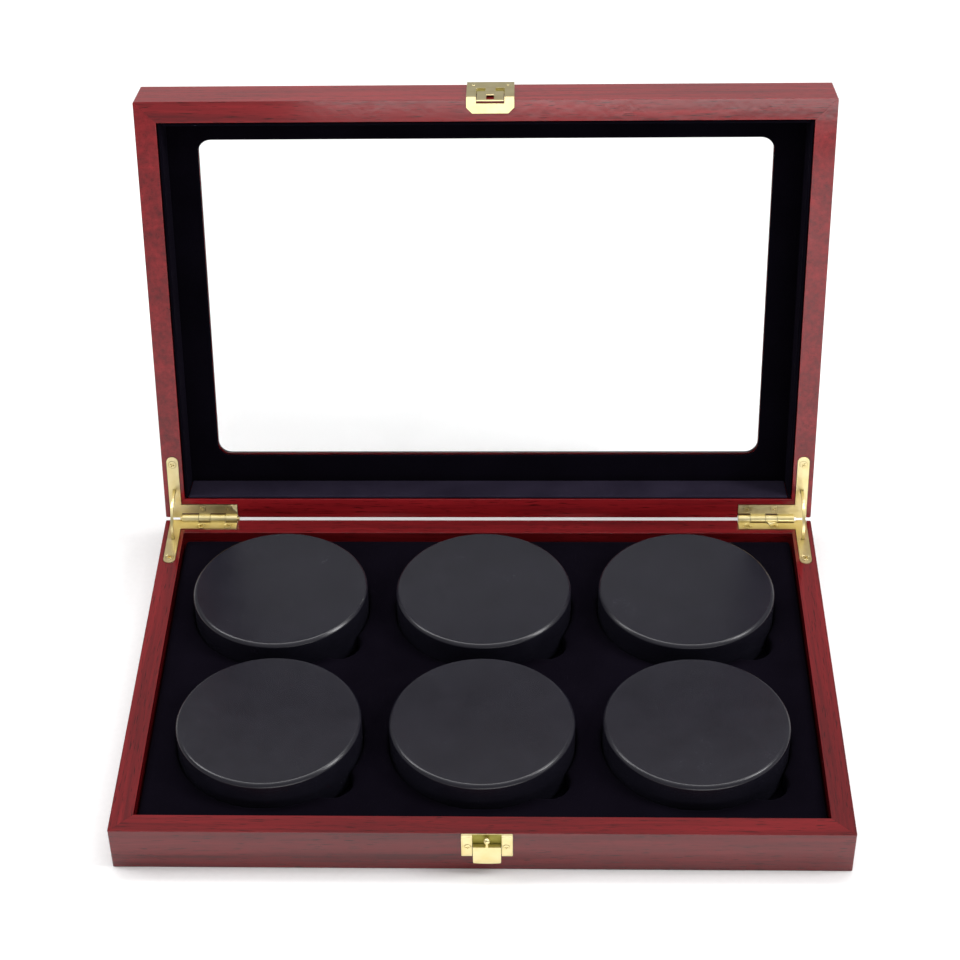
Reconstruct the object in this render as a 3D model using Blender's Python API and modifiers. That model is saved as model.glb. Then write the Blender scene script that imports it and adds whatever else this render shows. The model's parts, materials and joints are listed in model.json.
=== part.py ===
"""A hinged presentation case with a glazed lid, holding six flat basalt massage stones.

The case stands open, with its lid held by two quadrant hinges. The origin is at the centre of
the underside, +Z is up, +X is to the right and -Y is the front. Everything is in metres.
"""

import math

import bmesh
import bpy
from mathutils import Matrix, Vector

# Case
CASE_WIDTH = 0.308
CASE_DEPTH = 0.204
BASE_HEIGHT = 0.0213
LID_HEIGHT = 0.0233
RAIL_THICKNESS = 0.0096
RAIL_ROUNDING = 0.0005
CLOSED_GAP = 0.001
LID_OPEN = math.radians(102)

# Clearances
MITRE_GAP = 0.0001
WOOD_GAP = 0.0003
METAL_GAP = 0.0002
TURNING_GAP = 0.00035

# Base bottom
FELT_THICKNESS = 0.001
BOTTOM_THICKNESS = 0.003
REBATE_WIDTH = 0.005

# Insert that holds the stones
INSERT_SIDE_GAP = 0.0008
INSERT_FLOOR_THICKNESS = 0.003
INSERT_BLOCK_HEIGHT = 0.0094
POCKET_CLEARANCE = 0.0006
NOTCH_RADIUS = 0.0095
NOTCH_X = 0.0279
NOTCH_Y = -0.0248

# Stones
STONE_RADIUS = 0.0399
STONE_THICKNESS = 0.0214
STONE_EDGE = 0.0026
STONE_PITCH_X = 0.0916
STONE_PITCH_Y = 0.0867
BACK_LEFT_SHIFT = 0.0019
BACK_MIDDLE_SHIFT = 0.0006

# Lid filling
TOP_PANEL_THICKNESS = 0.004
GLASS_THICKNESS = 0.0018
GLASS_OVERLAP = 0.005
VELVET_PANEL_THICKNESS = 0.0015
LINING_THICKNESS = 0.0014
LINING_EDGE = 0.0004
WINDOW_WIDTH = 0.2585
WINDOW_DEPTH = 0.1566
WINDOW_FROM_BACK = 0.0244
WINDOW_RADIUS = 0.006

# Quadrant hinges
LEAF_THICKNESS = 0.0012
LEAF_PROUD = 0.0003
LEAF_OUTER_X = 0.00225
SIDE_ARM_WIDTH = 0.0055
SIDE_ARM_LENGTH = 0.032
BACK_ARM_LENGTH = 0.03225
BACK_ARM_DEPTH = 0.0068
AXIS_BEHIND = 0.0005
BARREL_RADIUS = 0.0022
HINGE_PIN_RADIUS = 0.0009
PIN_CLEARANCE = 0.0001
KNUCKLE_LENGTHS = (0.0057, 0.0073, 0.0055, 0.0080)
STAY_RADIUS = 0.0145
STAY_WIDTH = 0.0014
STAY_THICKNESS = 0.0012
STAY_HEAD_WIDTH = 0.003
STAY_HEAD_LENGTH = 0.001

# Hinge screws
SCREW_HEAD_RADIUS = 0.00175
SCREW_HEAD_CROWN = 0.00012
SCREW_SHANK_RADIUS = 0.0008
SCREW_LENGTH = 0.007
SCREW_FROM_BACK = 0.0048
SCREW_FROM_ARM_END = (0.0043, 0.0170)
SIDE_SCREW_FROM_BACK = 0.028

# Push latch on the base
LATCH_X = 0.0028
HOUSING_WIDTH = 0.0214
HOUSING_HEIGHT = 0.0115
HOUSING_PROUD = 0.0021
HOUSING_WEB = 0.0004
HOUSING_ROUNDING = 0.0004
CHANNEL_WIDTH = 0.0122
LATCH_SCREW_SPACING = 0.0160
LATCH_SCREW_DROP = 0.006
LATCH_SCREW_LENGTH = 0.006
LATCH_SCREW_HEAD_RADIUS = 0.0014
LATCH_SCREW_HEAD_DEPTH = 0.0006
LATCH_SCREW_SHANK_RADIUS = 0.00065
LEVER_TOP_DROP = 0.0056
LEVER_BOTTOM_DROP = 0.0153
LEVER_SIDE_GAP = 0.0003
LEVER_THICKNESS = 0.0007
LEVER_BACK_OFFSET = 0.0022
LEVER_PIVOT_OFFSET = 0.0015
LEVER_PIVOT_DROP = 0.0069
LEVER_BARREL_RADIUS = 0.0008
LEVER_EAR_LENGTH = 0.0019
LATCH_PIN_RADIUS = 0.0003
LATCH_PIN_SEAT = 0.00035
FINGER_WIDTH = 0.0024
FINGER_TOP_DROP = 0.0007
NUB_RADIUS = 0.0008
NUB_TIP_RADIUS = 0.00065
NUB_DROP = 0.0019
NUB_REACH = 0.00095
SPRING_WIRE = 0.0001
SPRING_TURNS = 5
SPRING_LENGTH = 0.0029

# Catch plate on the lid
CATCH_WIDTH = 0.021
CATCH_HEIGHT = 0.0222
CATCH_THICKNESS = 0.0013
CATCH_RIM_DEPTH = 0.006
CATCH_RIM_THICKNESS = 0.0008
CATCH_RIM_PROUD = 0.0003
CATCH_CORNER_CUT = 0.0026
CATCH_WINDOW_WIDTH = 0.0124
CATCH_WINDOW_TOP = 0.013
CATCH_WINDOW_RIM_DEPTH = 0.0015
TONGUE_WIDTH = 0.0118
TONGUE_THICKNESS = 0.0006
TONGUE_TOP = 0.0083
TONGUE_REACH = 0.0049
TONGUE_NECK_WIDTH = 0.0045
TONGUE_HOLE_WIDTH = 0.0034
TONGUE_HOLE_TOP = 0.0035
TONGUE_END_BAR = 0.001
CATCH_PIN_SPACING = 0.0152
CATCH_PIN_HEIGHT = 0.0178
CATCH_PIN_RADIUS = 0.0009
CATCH_PIN_TIP_RADIUS = 0.00055
CATCH_PIN_LENGTH = 0.006

# Derived places
FRONT_Y = -CASE_DEPTH / 2
BACK_Y = CASE_DEPTH / 2
LID_RIM_Z = BASE_HEIGHT + CLOSED_GAP
LID_TOP_Z = LID_RIM_Z + LID_HEIGHT
AXIS = Vector((0, BACK_Y + AXIS_BEHIND, BASE_HEIGHT + CLOSED_GAP / 2))
INNER_HALF_WIDTH = CASE_WIDTH / 2 - RAIL_THICKNESS
INNER_HALF_DEPTH = CASE_DEPTH / 2 - RAIL_THICKNESS
BOTTOM_TOP_Z = FELT_THICKNESS + WOOD_GAP + BOTTOM_THICKNESS
INSERT_FLOOR_Z = BOTTOM_TOP_Z + WOOD_GAP
INSERT_FLOOR_TOP = INSERT_FLOOR_Z + INSERT_FLOOR_THICKNESS
POCKET_FLOOR_Z = INSERT_FLOOR_TOP + WOOD_GAP
INSERT_TOP_Z = POCKET_FLOOR_Z + INSERT_BLOCK_HEIGHT
TOP_PANEL_Z = LID_TOP_Z - TOP_PANEL_THICKNESS
VELVET_PANEL_TOP = TOP_PANEL_Z - WOOD_GAP
VELVET_PANEL_Z = VELVET_PANEL_TOP - VELVET_PANEL_THICKNESS
ARM_CENTRE_X = CASE_WIDTH / 2 - LEAF_OUTER_X - SIDE_ARM_WIDTH / 2
ARM_OUTER_X = CASE_WIDTH / 2 - LEAF_OUTER_X
BARREL_INNER_X = ARM_OUTER_X - BACK_ARM_LENGTH
BARREL_OUTER_X = BARREL_INNER_X + sum(KNUCKLE_LENGTHS)

CUT_PAST = 0.002
WELD = 0.000001
SHARP_ANGLE = math.radians(40)
ROUND = 16
POCKET_SIDES = 32
NOTCH_SIDES = 16
STONE_SIDES = 36
SPRING_SIDES = 8


def clear_scene():
    for obj in list(bpy.data.objects):
        bpy.data.objects.remove(obj, do_unlink=True)


def new_collection(name):
    collection = bpy.data.collections.new(name)
    bpy.context.scene.collection.children.link(collection)
    return collection


def principled(name, colour, roughness, metallic=0.0):
    material = bpy.data.materials.new(name)
    material.use_nodes = True
    shader = material.node_tree.nodes["Principled BSDF"]
    shader.inputs["Base Color"].default_value = (*colour, 1)
    shader.inputs["Roughness"].default_value = roughness
    shader.inputs["Metallic"].default_value = metallic
    return material


clear_scene()
parts = new_collection("Massage stone case")
cutters = new_collection("Cutters")

WOOD = principled("Lacquered wood", (0.19, 0.02, 0.025), 0.25)
VELVET = principled("Black velvet", (0.004, 0.003, 0.006), 0.95)
FELT = principled("Black felt", (0.01, 0.01, 0.01), 0.95)
BASALT = principled("Honed basalt", (0.03, 0.03, 0.036), 0.5)
BRASS = principled("Polished brass", (0.75, 0.60, 0.25), 0.2, 1.0)
STEEL = principled("Spring steel", (0.6, 0.6, 0.6), 0.3, 1.0)
GLASS = principled("Clear glass", (0.9, 0.92, 0.92), 0.05)
BOARD = principled("Hardboard", (0.12, 0.06, 0.03), 0.7)


def add_empty(name, location, turn=0.0):
    """An empty on a joint's axis, turned about X."""
    empty = bpy.data.objects.new(name, None)
    empty.location = location
    empty.rotation_euler = (turn, 0, 0)
    parts.objects.link(empty)
    return empty


def add_object(name, mesh, material=None, pivot=None):
    """A part where a material is given, and otherwise a cutter. A pivot is an empty that carries it."""
    obj = bpy.data.objects.new(name, mesh)
    if material:
        mesh.materials.clear()
        mesh.materials.append(material)
        parts.objects.link(obj)
    else:
        obj.hide_render = True
        obj.display_type = "WIRE"
        cutters.objects.link(obj)
    if pivot:
        mesh.transform(Matrix.Translation(-pivot.location))
        obj.parent = pivot
    return obj


def mesh_from(bm, name):
    bmesh.ops.recalc_face_normals(bm, faces=bm.faces)
    mesh = bpy.data.meshes.new(name)
    bm.to_mesh(mesh)
    bm.free()
    return mesh


def box_mesh(name, low, high):
    low = Vector(low)
    high = Vector(high)
    bm = bmesh.new()
    bmesh.ops.create_cube(bm, size=1)
    for vert in bm.verts:
        share = vert.co + Vector((0.5, 0.5, 0.5))
        vert.co = [low[i] + share[i] * (high[i] - low[i]) for i in range(3)]
    return mesh_from(bm, name)


def cone_mesh(name, start, end, radius_start, radius_end, segments=ROUND):
    """A cylinder or a cone from one point to another."""
    start = Vector(start)
    end = Vector(end)
    along = end - start
    turn = Vector((0, 0, 1)).rotation_difference(along).to_matrix().to_4x4()
    bm = bmesh.new()
    bmesh.ops.create_cone(
        bm,
        cap_ends=True,
        segments=segments,
        radius1=radius_start,
        radius2=radius_end,
        depth=along.length,
        matrix=Matrix.Translation((start + end) / 2) @ turn,
    )
    return mesh_from(bm, name)


def plate_mesh(name, outlines, low_z, high_z):
    """A flat plate from a closed outline, with any further outlines as holes in it."""
    curve = bpy.data.curves.new(name, "CURVE")
    curve.dimensions = "2D"
    curve.fill_mode = "BOTH"
    curve.extrude = (high_z - low_z) / 2
    for outline in outlines:
        spline = curve.splines.new("POLY")
        spline.points.add(len(outline) - 1)
        for point, (x, y) in zip(spline.points, outline):
            point.co = (x, y, 0, 1)
        spline.use_cyclic_u = True
    guide = bpy.data.objects.new(name, curve)
    guide.location = (0, 0, (low_z + high_z) / 2)
    bpy.context.scene.collection.objects.link(guide)
    bpy.context.view_layer.update()
    mesh = bpy.data.meshes.new_from_object(guide.evaluated_get(bpy.context.evaluated_depsgraph_get()))
    mesh.transform(guide.matrix_world)
    bpy.data.objects.remove(guide)
    bpy.data.curves.remove(curve)
    bm = bmesh.new()
    bm.from_mesh(mesh)
    bmesh.ops.remove_doubles(bm, verts=bm.verts, dist=WELD)
    bpy.data.meshes.remove(mesh)
    return mesh_from(bm, name)


def add_cuts(obj, tools, operation="DIFFERENCE"):
    for tool in tools:
        modifier = obj.modifiers.new(tool.name, "BOOLEAN")
        modifier.operation = operation
        modifier.object = tool


def round_edges(obj, width, segments=2):
    modifier = obj.modifiers.new("Rounded edges", "BEVEL")
    modifier.width = width
    modifier.segments = segments
    modifier.limit_method = "ANGLE"
    modifier.angle_limit = SHARP_ANGLE


def shade_round(obj):
    obj.data.shade_smooth()
    obj.data.set_sharp_from_angle(angle=SHARP_ANGLE)


def arc(centre_x, centre_y, radius, start, end, steps):
    """Points along an arc, with its angles in degrees."""
    points = []
    for step in range(steps + 1):
        angle = math.radians(start + (end - start) * step / steps)
        points.append((centre_x + radius * math.cos(angle), centre_y + radius * math.sin(angle)))
    return points


def rectangle(low_x, low_y, high_x, high_y):
    return [(low_x, low_y), (high_x, low_y), (high_x, high_y), (low_x, high_y)]


def rounded_rectangle(low_x, low_y, high_x, high_y, radius, steps=6):
    points = arc(high_x - radius, high_y - radius, radius, 0, 90, steps)
    points += arc(low_x + radius, high_y - radius, radius, 90, 180, steps)
    points += arc(low_x + radius, low_y + radius, radius, 180, 270, steps)
    points += arc(high_x - radius, low_y + radius, radius, 270, 360, steps)
    return points


# Rails


def rail_mesh(name, section, length, turn, outer_distance):
    """A mitred rail. Its section is a list of (distance in from the outer face, height)."""
    half = length / 2
    bm = bmesh.new()
    ends = []
    for side in (-1, 1):
        ring = []
        for inward, height in section:
            along = side * (half - inward - MITRE_GAP)
            ring.append(bm.verts.new((along, inward - outer_distance, height)))
        ends.append(ring)
    bm.faces.new(ends[0])
    bm.faces.new(list(reversed(ends[1])))
    count = len(section)
    for i in range(count):
        j = (i + 1) % count
        bm.faces.new((ends[0][i], ends[1][i], ends[1][j], ends[0][j]))
    bmesh.ops.rotate(bm, verts=bm.verts, matrix=Matrix.Rotation(turn, 3, "Z"))
    return mesh_from(bm, name)


def add_rails(prefix, section, pivot):
    """The four mitred rails of the base or of the lid, as a dictionary by side."""
    sides = {
        "front": (CASE_WIDTH, 0, CASE_DEPTH / 2),
        "right": (CASE_DEPTH, math.pi / 2, CASE_WIDTH / 2),
        "back": (CASE_WIDTH, math.pi, CASE_DEPTH / 2),
        "left": (CASE_DEPTH, -math.pi / 2, CASE_WIDTH / 2),
    }
    rails = {}
    for side, (length, turn, outer_distance) in sides.items():
        name = f"{prefix}_{side}_rail"
        mesh = rail_mesh(name, section, length, turn, outer_distance)
        rails[side] = add_object(name, mesh, WOOD, pivot)
        round_edges(rails[side], RAIL_ROUNDING)
    return rails


def base_section():
    """A rail of the base, rebated at its lower inner edge for the bottom panel."""
    step = RAIL_THICKNESS - REBATE_WIDTH
    rebate_top = BOTTOM_TOP_Z + WOOD_GAP
    return [
        (0, 0),
        (step, 0),
        (step, rebate_top),
        (RAIL_THICKNESS, rebate_top),
        (RAIL_THICKNESS, BASE_HEIGHT),
        (0, BASE_HEIGHT),
    ]


def lid_section():
    """A rail of the lid, rebated at its upper inner edge for the top panel."""
    step = RAIL_THICKNESS - REBATE_WIDTH
    rebate_floor = TOP_PANEL_Z - WOOD_GAP
    return [
        (0, LID_RIM_Z),
        (RAIL_THICKNESS, LID_RIM_Z),
        (RAIL_THICKNESS, rebate_floor),
        (step, rebate_floor),
        (step, LID_TOP_Z),
        (0, LID_TOP_Z),
    ]


# Base filling


def add_base_filling():
    half_x = INNER_HALF_WIDTH + REBATE_WIDTH - WOOD_GAP
    half_y = INNER_HALF_DEPTH + REBATE_WIDTH - WOOD_GAP
    panel_z = FELT_THICKNESS + WOOD_GAP
    felt = box_mesh("base_felt", (-half_x, -half_y, 0), (half_x, half_y, FELT_THICKNESS))
    add_object("base_felt", felt, FELT)
    panel = box_mesh("base_bottom_panel", (-half_x, -half_y, panel_z), (half_x, half_y, BOTTOM_TOP_Z))
    add_object("base_bottom_panel", panel, BOARD)


def stone_places():
    """Each stone's name and centre. Two pockets of the back row are cut a little further left."""
    places = {}
    for row, y in (("front", -STONE_PITCH_Y / 2), ("back", STONE_PITCH_Y / 2)):
        for column, x in (("left", -STONE_PITCH_X), ("middle", 0), ("right", STONE_PITCH_X)):
            places[f"stone_{row}_{column}"] = Vector((x, y, 0))
    places["stone_back_left"].x -= BACK_LEFT_SHIFT
    places["stone_back_middle"].x -= BACK_MIDDLE_SHIFT
    return places


def add_insert():
    """The floor, and the block whose round pockets each have a notch for a fingertip."""
    half_x = INNER_HALF_WIDTH - INSERT_SIDE_GAP
    half_y = INNER_HALF_DEPTH - INSERT_SIDE_GAP
    floor = box_mesh("insert_floor", (-half_x, -half_y, INSERT_FLOOR_Z), (half_x, half_y, INSERT_FLOOR_TOP))
    add_object("insert_floor", floor, VELVET)
    block = box_mesh("insert_block", (-half_x, -half_y, POCKET_FLOOR_Z), (half_x, half_y, INSERT_TOP_Z))
    block = add_object("insert_block", block, VELVET)
    pocket_radius = STONE_RADIUS + POCKET_CLEARANCE
    low_z = POCKET_FLOOR_Z - CUT_PAST
    high_z = INSERT_TOP_Z + CUT_PAST
    tools = []
    for name, place in stone_places().items():
        pocket = cone_mesh("pocket", place + Vector((0, 0, low_z)), place + Vector((0, 0, high_z)),
                           pocket_radius, pocket_radius, POCKET_SIDES)
        tools.append(add_object(f"pocket_of_{name}", pocket))
        notch_low = place + Vector((NOTCH_X, NOTCH_Y, low_z))
        notch_high = place + Vector((NOTCH_X, NOTCH_Y, high_z))
        notch = cone_mesh("notch", notch_low, notch_high, NOTCH_RADIUS, NOTCH_RADIUS, NOTCH_SIDES)
        tools.append(add_object(f"notch_of_{name}", notch))
    add_cuts(block, tools)


def turned_object(name, profile, steps, material, location):
    """A turned piece from a profile of (radius, height), listed from its top to its bottom."""
    mesh = bpy.data.meshes.new(name)
    vertices = [(radius, 0, height) for radius, height in profile]
    mesh.from_pydata(vertices, [(i, i + 1) for i in range(len(vertices) - 1)], [])
    obj = add_object(name, mesh, material)
    obj.location = location
    screw = obj.modifiers.new("Turned", "SCREW")
    screw.steps = steps
    screw.render_steps = steps
    screw.use_merge_vertices = True
    screw.merge_threshold = 0.00001
    screw.use_smooth_shade = True
    return obj


def add_stones():
    """Flat round stones with rounded edges, each on the floor of its pocket."""
    top = STONE_THICKNESS
    profile = [(0, top)]
    profile += arc(STONE_RADIUS - STONE_EDGE, top - STONE_EDGE, STONE_EDGE, 90, 0, 4)
    profile += arc(STONE_RADIUS - STONE_EDGE, STONE_EDGE, STONE_EDGE, 0, -90, 4)
    profile.append((0, 0))
    for name, place in stone_places().items():
        turned_object(name, profile, STONE_SIDES, BASALT, place + Vector((0, 0, POCKET_FLOOR_Z)))


# Lid filling


def window_outline(grow, radius):
    half = WINDOW_WIDTH / 2 + grow
    back = BACK_Y - WINDOW_FROM_BACK + grow
    front = BACK_Y - WINDOW_FROM_BACK - WINDOW_DEPTH - grow
    return rounded_rectangle(-half, front, half, back, radius)


def add_lid_panels(pivot):
    """The rebated top panel, the pane in it, and the velvet panel that keeps the pane in."""
    half_x = INNER_HALF_WIDTH + REBATE_WIDTH - WOOD_GAP
    half_y = INNER_HALF_DEPTH + REBATE_WIDTH - WOOD_GAP
    outer = rectangle(-half_x, -half_y, half_x, half_y)
    panel = plate_mesh("lid_top_panel", [outer, window_outline(0, WINDOW_RADIUS)], TOP_PANEL_Z, LID_TOP_Z)
    panel = add_object("lid_top_panel", panel, WOOD, pivot)
    seat_top = TOP_PANEL_Z + GLASS_THICKNESS + WOOD_GAP
    seat_outline = window_outline(GLASS_OVERLAP + WOOD_GAP, WINDOW_RADIUS)
    seat = plate_mesh("glass_seat", [seat_outline], TOP_PANEL_Z - CUT_PAST, seat_top)
    add_cuts(panel, [add_object("glass_seat", seat, pivot=pivot)])
    pane_outline = window_outline(GLASS_OVERLAP, WINDOW_RADIUS)
    pane = plate_mesh("lid_glass", [pane_outline], TOP_PANEL_Z, TOP_PANEL_Z + GLASS_THICKNESS)
    add_object("lid_glass", pane, GLASS, pivot)
    half_x = INNER_HALF_WIDTH - WOOD_GAP
    half_y = INNER_HALF_DEPTH - WOOD_GAP
    outer = rectangle(-half_x, -half_y, half_x, half_y)
    velvet = plate_mesh("lid_velvet_panel", [outer, window_outline(0, WINDOW_RADIUS)],
                        VELVET_PANEL_Z, VELVET_PANEL_TOP)
    add_object("lid_velvet_panel", velvet, VELVET, pivot)


def add_linings(pivot):
    """Velvet strips on the inner faces of the lid's rails."""
    outer_x = INNER_HALF_WIDTH - WOOD_GAP
    inner_x = outer_x - LINING_THICKNESS
    outer_y = INNER_HALF_DEPTH - WOOD_GAP
    inner_y = outer_y - LINING_THICKNESS
    low_z = LID_RIM_Z + LINING_EDGE
    high_z = VELVET_PANEL_Z - WOOD_GAP
    end_x = inner_x - WOOD_GAP
    strips = {
        "lid_lining_left": ((-outer_x, -outer_y), (-inner_x, outer_y)),
        "lid_lining_right": ((inner_x, -outer_y), (outer_x, outer_y)),
        "lid_lining_front": ((-end_x, -outer_y), (end_x, -inner_y)),
        "lid_lining_back": ((-end_x, inner_y), (end_x, outer_y)),
    }
    for name, (low, high) in strips.items():
        add_object(name, box_mesh(name, (*low, low_z), (*high, high_z)), VELVET, pivot)


# Quadrant hinges


def leaf_outline(side, grow=0.0):
    """The L of a leaf seen from above, with its back arm inwards and its side arm forwards."""
    outer = ARM_OUTER_X + grow
    arm_inner = ARM_OUTER_X - SIDE_ARM_WIDTH - grow
    barrel_inner = BARREL_INNER_X - grow
    end_radius = SIDE_ARM_WIDTH / 2 + grow
    end_y = BACK_Y - SIDE_ARM_LENGTH + SIDE_ARM_WIDTH / 2
    arm_front = BACK_Y - BACK_ARM_DEPTH - grow
    past = CUT_PAST if grow else 0
    back = AXIS.y + past
    points = [(barrel_inner, back), (barrel_inner, arm_front), (arm_inner, arm_front)]
    points += arc(ARM_CENTRE_X, end_y, end_radius, 180, 360, 8)
    points += [(outer, BACK_Y + past), (BARREL_OUTER_X + grow, BACK_Y + past), (BARREL_OUTER_X + grow, back)]
    return [(side * x, y) for x, y in points]


def knuckle_spans(mine):
    """Where the knuckles of one leaf (mine 0 or 1), counted from the inner end, start and end along X."""
    spans = []
    start = BARREL_INNER_X
    for index, length in enumerate(KNUCKLE_LENGTHS):
        if index % 2 == mine:
            spans.append((start, start + length))
        start += length
    return spans


def screw_places():
    """Each screw of a leaf by name, as (X, Y) on the right-hand hinge."""
    inner, outer = (BARREL_INNER_X + distance for distance in SCREW_FROM_ARM_END)
    return {
        "inner": (inner, BACK_Y - SCREW_FROM_BACK),
        "outer": (outer, BACK_Y - SCREW_FROM_BACK),
        "side": (ARM_CENTRE_X, BACK_Y - SIDE_SCREW_FROM_BACK),
    }


def screw_profile(grow=0.0):
    """A countersunk screw from its crown down, and, grown, the hole that it sits in."""
    head = SCREW_HEAD_RADIUS + grow
    shank = SCREW_SHANK_RADIUS + grow
    cone = SCREW_HEAD_RADIUS - SCREW_SHANK_RADIUS
    if grow:
        end = -SCREW_LENGTH - grow
        return [(0, CUT_PAST), (head, CUT_PAST), (head, 0), (shank, -cone), (shank, end), (0, end)]
    tip = shank - SCREW_LENGTH
    return [(0, SCREW_HEAD_CROWN), (head, 0), (shank, -cone), (shank, tip), (0, -SCREW_LENGTH)]


def lathe_mesh(name, profile, place, direction):
    """A turned mesh along +Z or, for direction -1, along -Z."""
    bm = bmesh.new()
    points = [bm.verts.new((radius, 0, height * direction)) for radius, height in profile]
    edges = [bm.edges.new(pair) for pair in zip(points, points[1:])]
    bmesh.ops.spin(bm, geom=points + edges, cent=(0, 0, 0), axis=(0, 0, 1), angle=2 * math.pi, steps=ROUND)
    bmesh.ops.remove_doubles(bm, verts=bm.verts, dist=WELD)
    bmesh.ops.translate(bm, verts=bm.verts, vec=place)
    return mesh_from(bm, name)


def add_leaf(name, side, up, mine, rails, pivot):
    """A leaf with its screws. Up is -1 for the base's leaf and 1 for the lid's, in the closed case."""
    reach = CLOSED_GAP / 2 - LEAF_PROUD
    near = AXIS.z + up * reach
    far = AXIS.z + up * (reach + LEAF_THICKNESS)
    low, high = sorted((near, far))
    leaf = add_object(name, plate_mesh(name, [leaf_outline(side)], low, high), BRASS, pivot)
    bore_radius = HINGE_PIN_RADIUS + PIN_CLEARANCE
    relief_radius = BARREL_RADIUS + TURNING_GAP
    for start, end in knuckle_spans(1 - mine):
        place = [(side * x, AXIS.y, AXIS.z) for x in (start - METAL_GAP, end + METAL_GAP)]
        relief = cone_mesh("relief", *place, relief_radius, relief_radius)
        add_cuts(leaf, [add_object(f"{name}_relief", relief, pivot=pivot)])
    for start, end in knuckle_spans(mine):
        place = [(side * x, AXIS.y, AXIS.z) for x in (start, end)]
        knuckle = cone_mesh("knuckle", *place, BARREL_RADIUS, BARREL_RADIUS)
        add_cuts(leaf, [add_object(f"{name}_knuckle", knuckle, pivot=pivot)], "UNION")
    place = [(side * x, AXIS.y, AXIS.z) for x in (BARREL_INNER_X - CUT_PAST, BARREL_OUTER_X + CUT_PAST)]
    bore = add_object(f"{name}_bore", cone_mesh("bore", *place, bore_radius, bore_radius), pivot=pivot)
    slot = add_stay_slot(name, side, (low - CUT_PAST, high + CUT_PAST), pivot)
    add_cuts(leaf, [bore, slot])

    deep = far + up * METAL_GAP
    open_side = AXIS.z - up * CUT_PAST
    recess_mesh = plate_mesh("recess", [leaf_outline(side, METAL_GAP)], *sorted((deep, open_side)))
    recess = add_object(f"{name}_recess", recess_mesh, pivot=pivot)
    place = [(side * x, AXIS.y, AXIS.z) for x in (BARREL_INNER_X - METAL_GAP, BARREL_OUTER_X + METAL_GAP)]
    cove = add_object(f"{name}_cove", cone_mesh("cove", *place, relief_radius, relief_radius), pivot=pivot)
    mortise = add_stay_mortise(name, side, up, pivot)
    side_rail = rails["right" if side > 0 else "left"]
    add_cuts(rails["back"], [recess, cove, mortise])
    add_cuts(side_rail, [recess, cove, mortise])

    for place_name, (x, y) in screw_places().items():
        place = Vector((side * x, y, near))
        hole_mesh = lathe_mesh("hole", screw_profile(METAL_GAP), place, -up)
        hole = add_object(f"{name}_hole_{place_name}", hole_mesh, pivot=pivot)
        add_cuts(leaf, [hole])
        add_cuts(side_rail if place_name == "side" else rails["back"], [hole])
        screw_name = name.replace("leaf", f"screw_{place_name}")
        screw = lathe_mesh(screw_name, screw_profile(), place, -up)
        shade_round(add_object(screw_name, screw, BRASS, pivot))
    shade_round(leaf)


def add_stay_slot(name, side, span, pivot):
    """The slot in a leaf that the stay slides through."""
    half_x = STAY_THICKNESS / 2 + METAL_GAP
    centre = AXIS.y - STAY_RADIUS
    half_y = STAY_WIDTH / 2 + METAL_GAP
    low = (side * ARM_CENTRE_X - half_x, centre - half_y, span[0])
    high = (side * ARM_CENTRE_X + half_x, centre + half_y, span[1])
    return add_object(f"{name}_slot", box_mesh("slot", low, high), pivot=pivot)


def stay_half_span():
    """Half the angle of the stay, so that each head sits just inside its leaf when the lid is open."""
    depth = CLOSED_GAP / 2 - LEAF_PROUD + LEAF_THICKNESS + WOOD_GAP
    below_leaf = math.asin(depth / (STAY_RADIUS - STAY_HEAD_WIDTH / 2))
    return LID_OPEN / 2 + below_leaf + STAY_HEAD_LENGTH / STAY_RADIUS


def add_stay_mortise(name, side, up, pivot):
    """The pocket in the wood that takes half of the stay in the closed case."""
    half_x = STAY_THICKNESS / 2 + WOOD_GAP
    outer = STAY_RADIUS + STAY_HEAD_WIDTH / 2 + WOOD_GAP
    inner = STAY_RADIUS - STAY_HEAD_WIDTH / 2 - WOOD_GAP
    swing = stay_half_span() + WOOD_GAP / STAY_RADIUS
    ends = sorted((AXIS.z - up * CUT_PAST, AXIS.z + up * outer * math.sin(swing)))
    low = (side * ARM_CENTRE_X - half_x, AXIS.y - outer, ends[0])
    high = (side * ARM_CENTRE_X + half_x, AXIS.y - inner * math.cos(swing), ends[1])
    return add_object(f"{name}_mortise", box_mesh("mortise", low, high), pivot=pivot)


def stay_outline():
    """The arc of a stay with a head at each end, around the axis, as (forward, up) from it."""
    half = math.degrees(stay_half_span())
    head = math.degrees(STAY_HEAD_LENGTH / STAY_RADIUS)
    narrow = STAY_WIDTH / 2
    wide = STAY_HEAD_WIDTH / 2
    points = arc(0, 0, STAY_RADIUS + wide, -half, -half + head, 1)
    points += arc(0, 0, STAY_RADIUS + narrow, -half + head, half - head, 16)
    points += arc(0, 0, STAY_RADIUS + wide, half - head, half, 1)
    points += arc(0, 0, STAY_RADIUS - wide, half, half - head, 1)
    points += arc(0, 0, STAY_RADIUS - narrow, half - head, -half + head, 16)
    points += arc(0, 0, STAY_RADIUS - wide, -half + head, -half, 1)
    return points


def add_stay(name, side, pivot):
    mesh = plate_mesh(name, [stay_outline()], -STAY_THICKNESS / 2, STAY_THICKNESS / 2)
    forward_up = Matrix(((0, 0, -1), (-1, 0, 0), (0, 1, 0))).to_4x4()
    place = Vector((side * ARM_CENTRE_X, AXIS.y, AXIS.z))
    mesh.transform(Matrix.Translation(place) @ forward_up)
    shade_round(add_object(name, mesh, BRASS, pivot))


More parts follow.
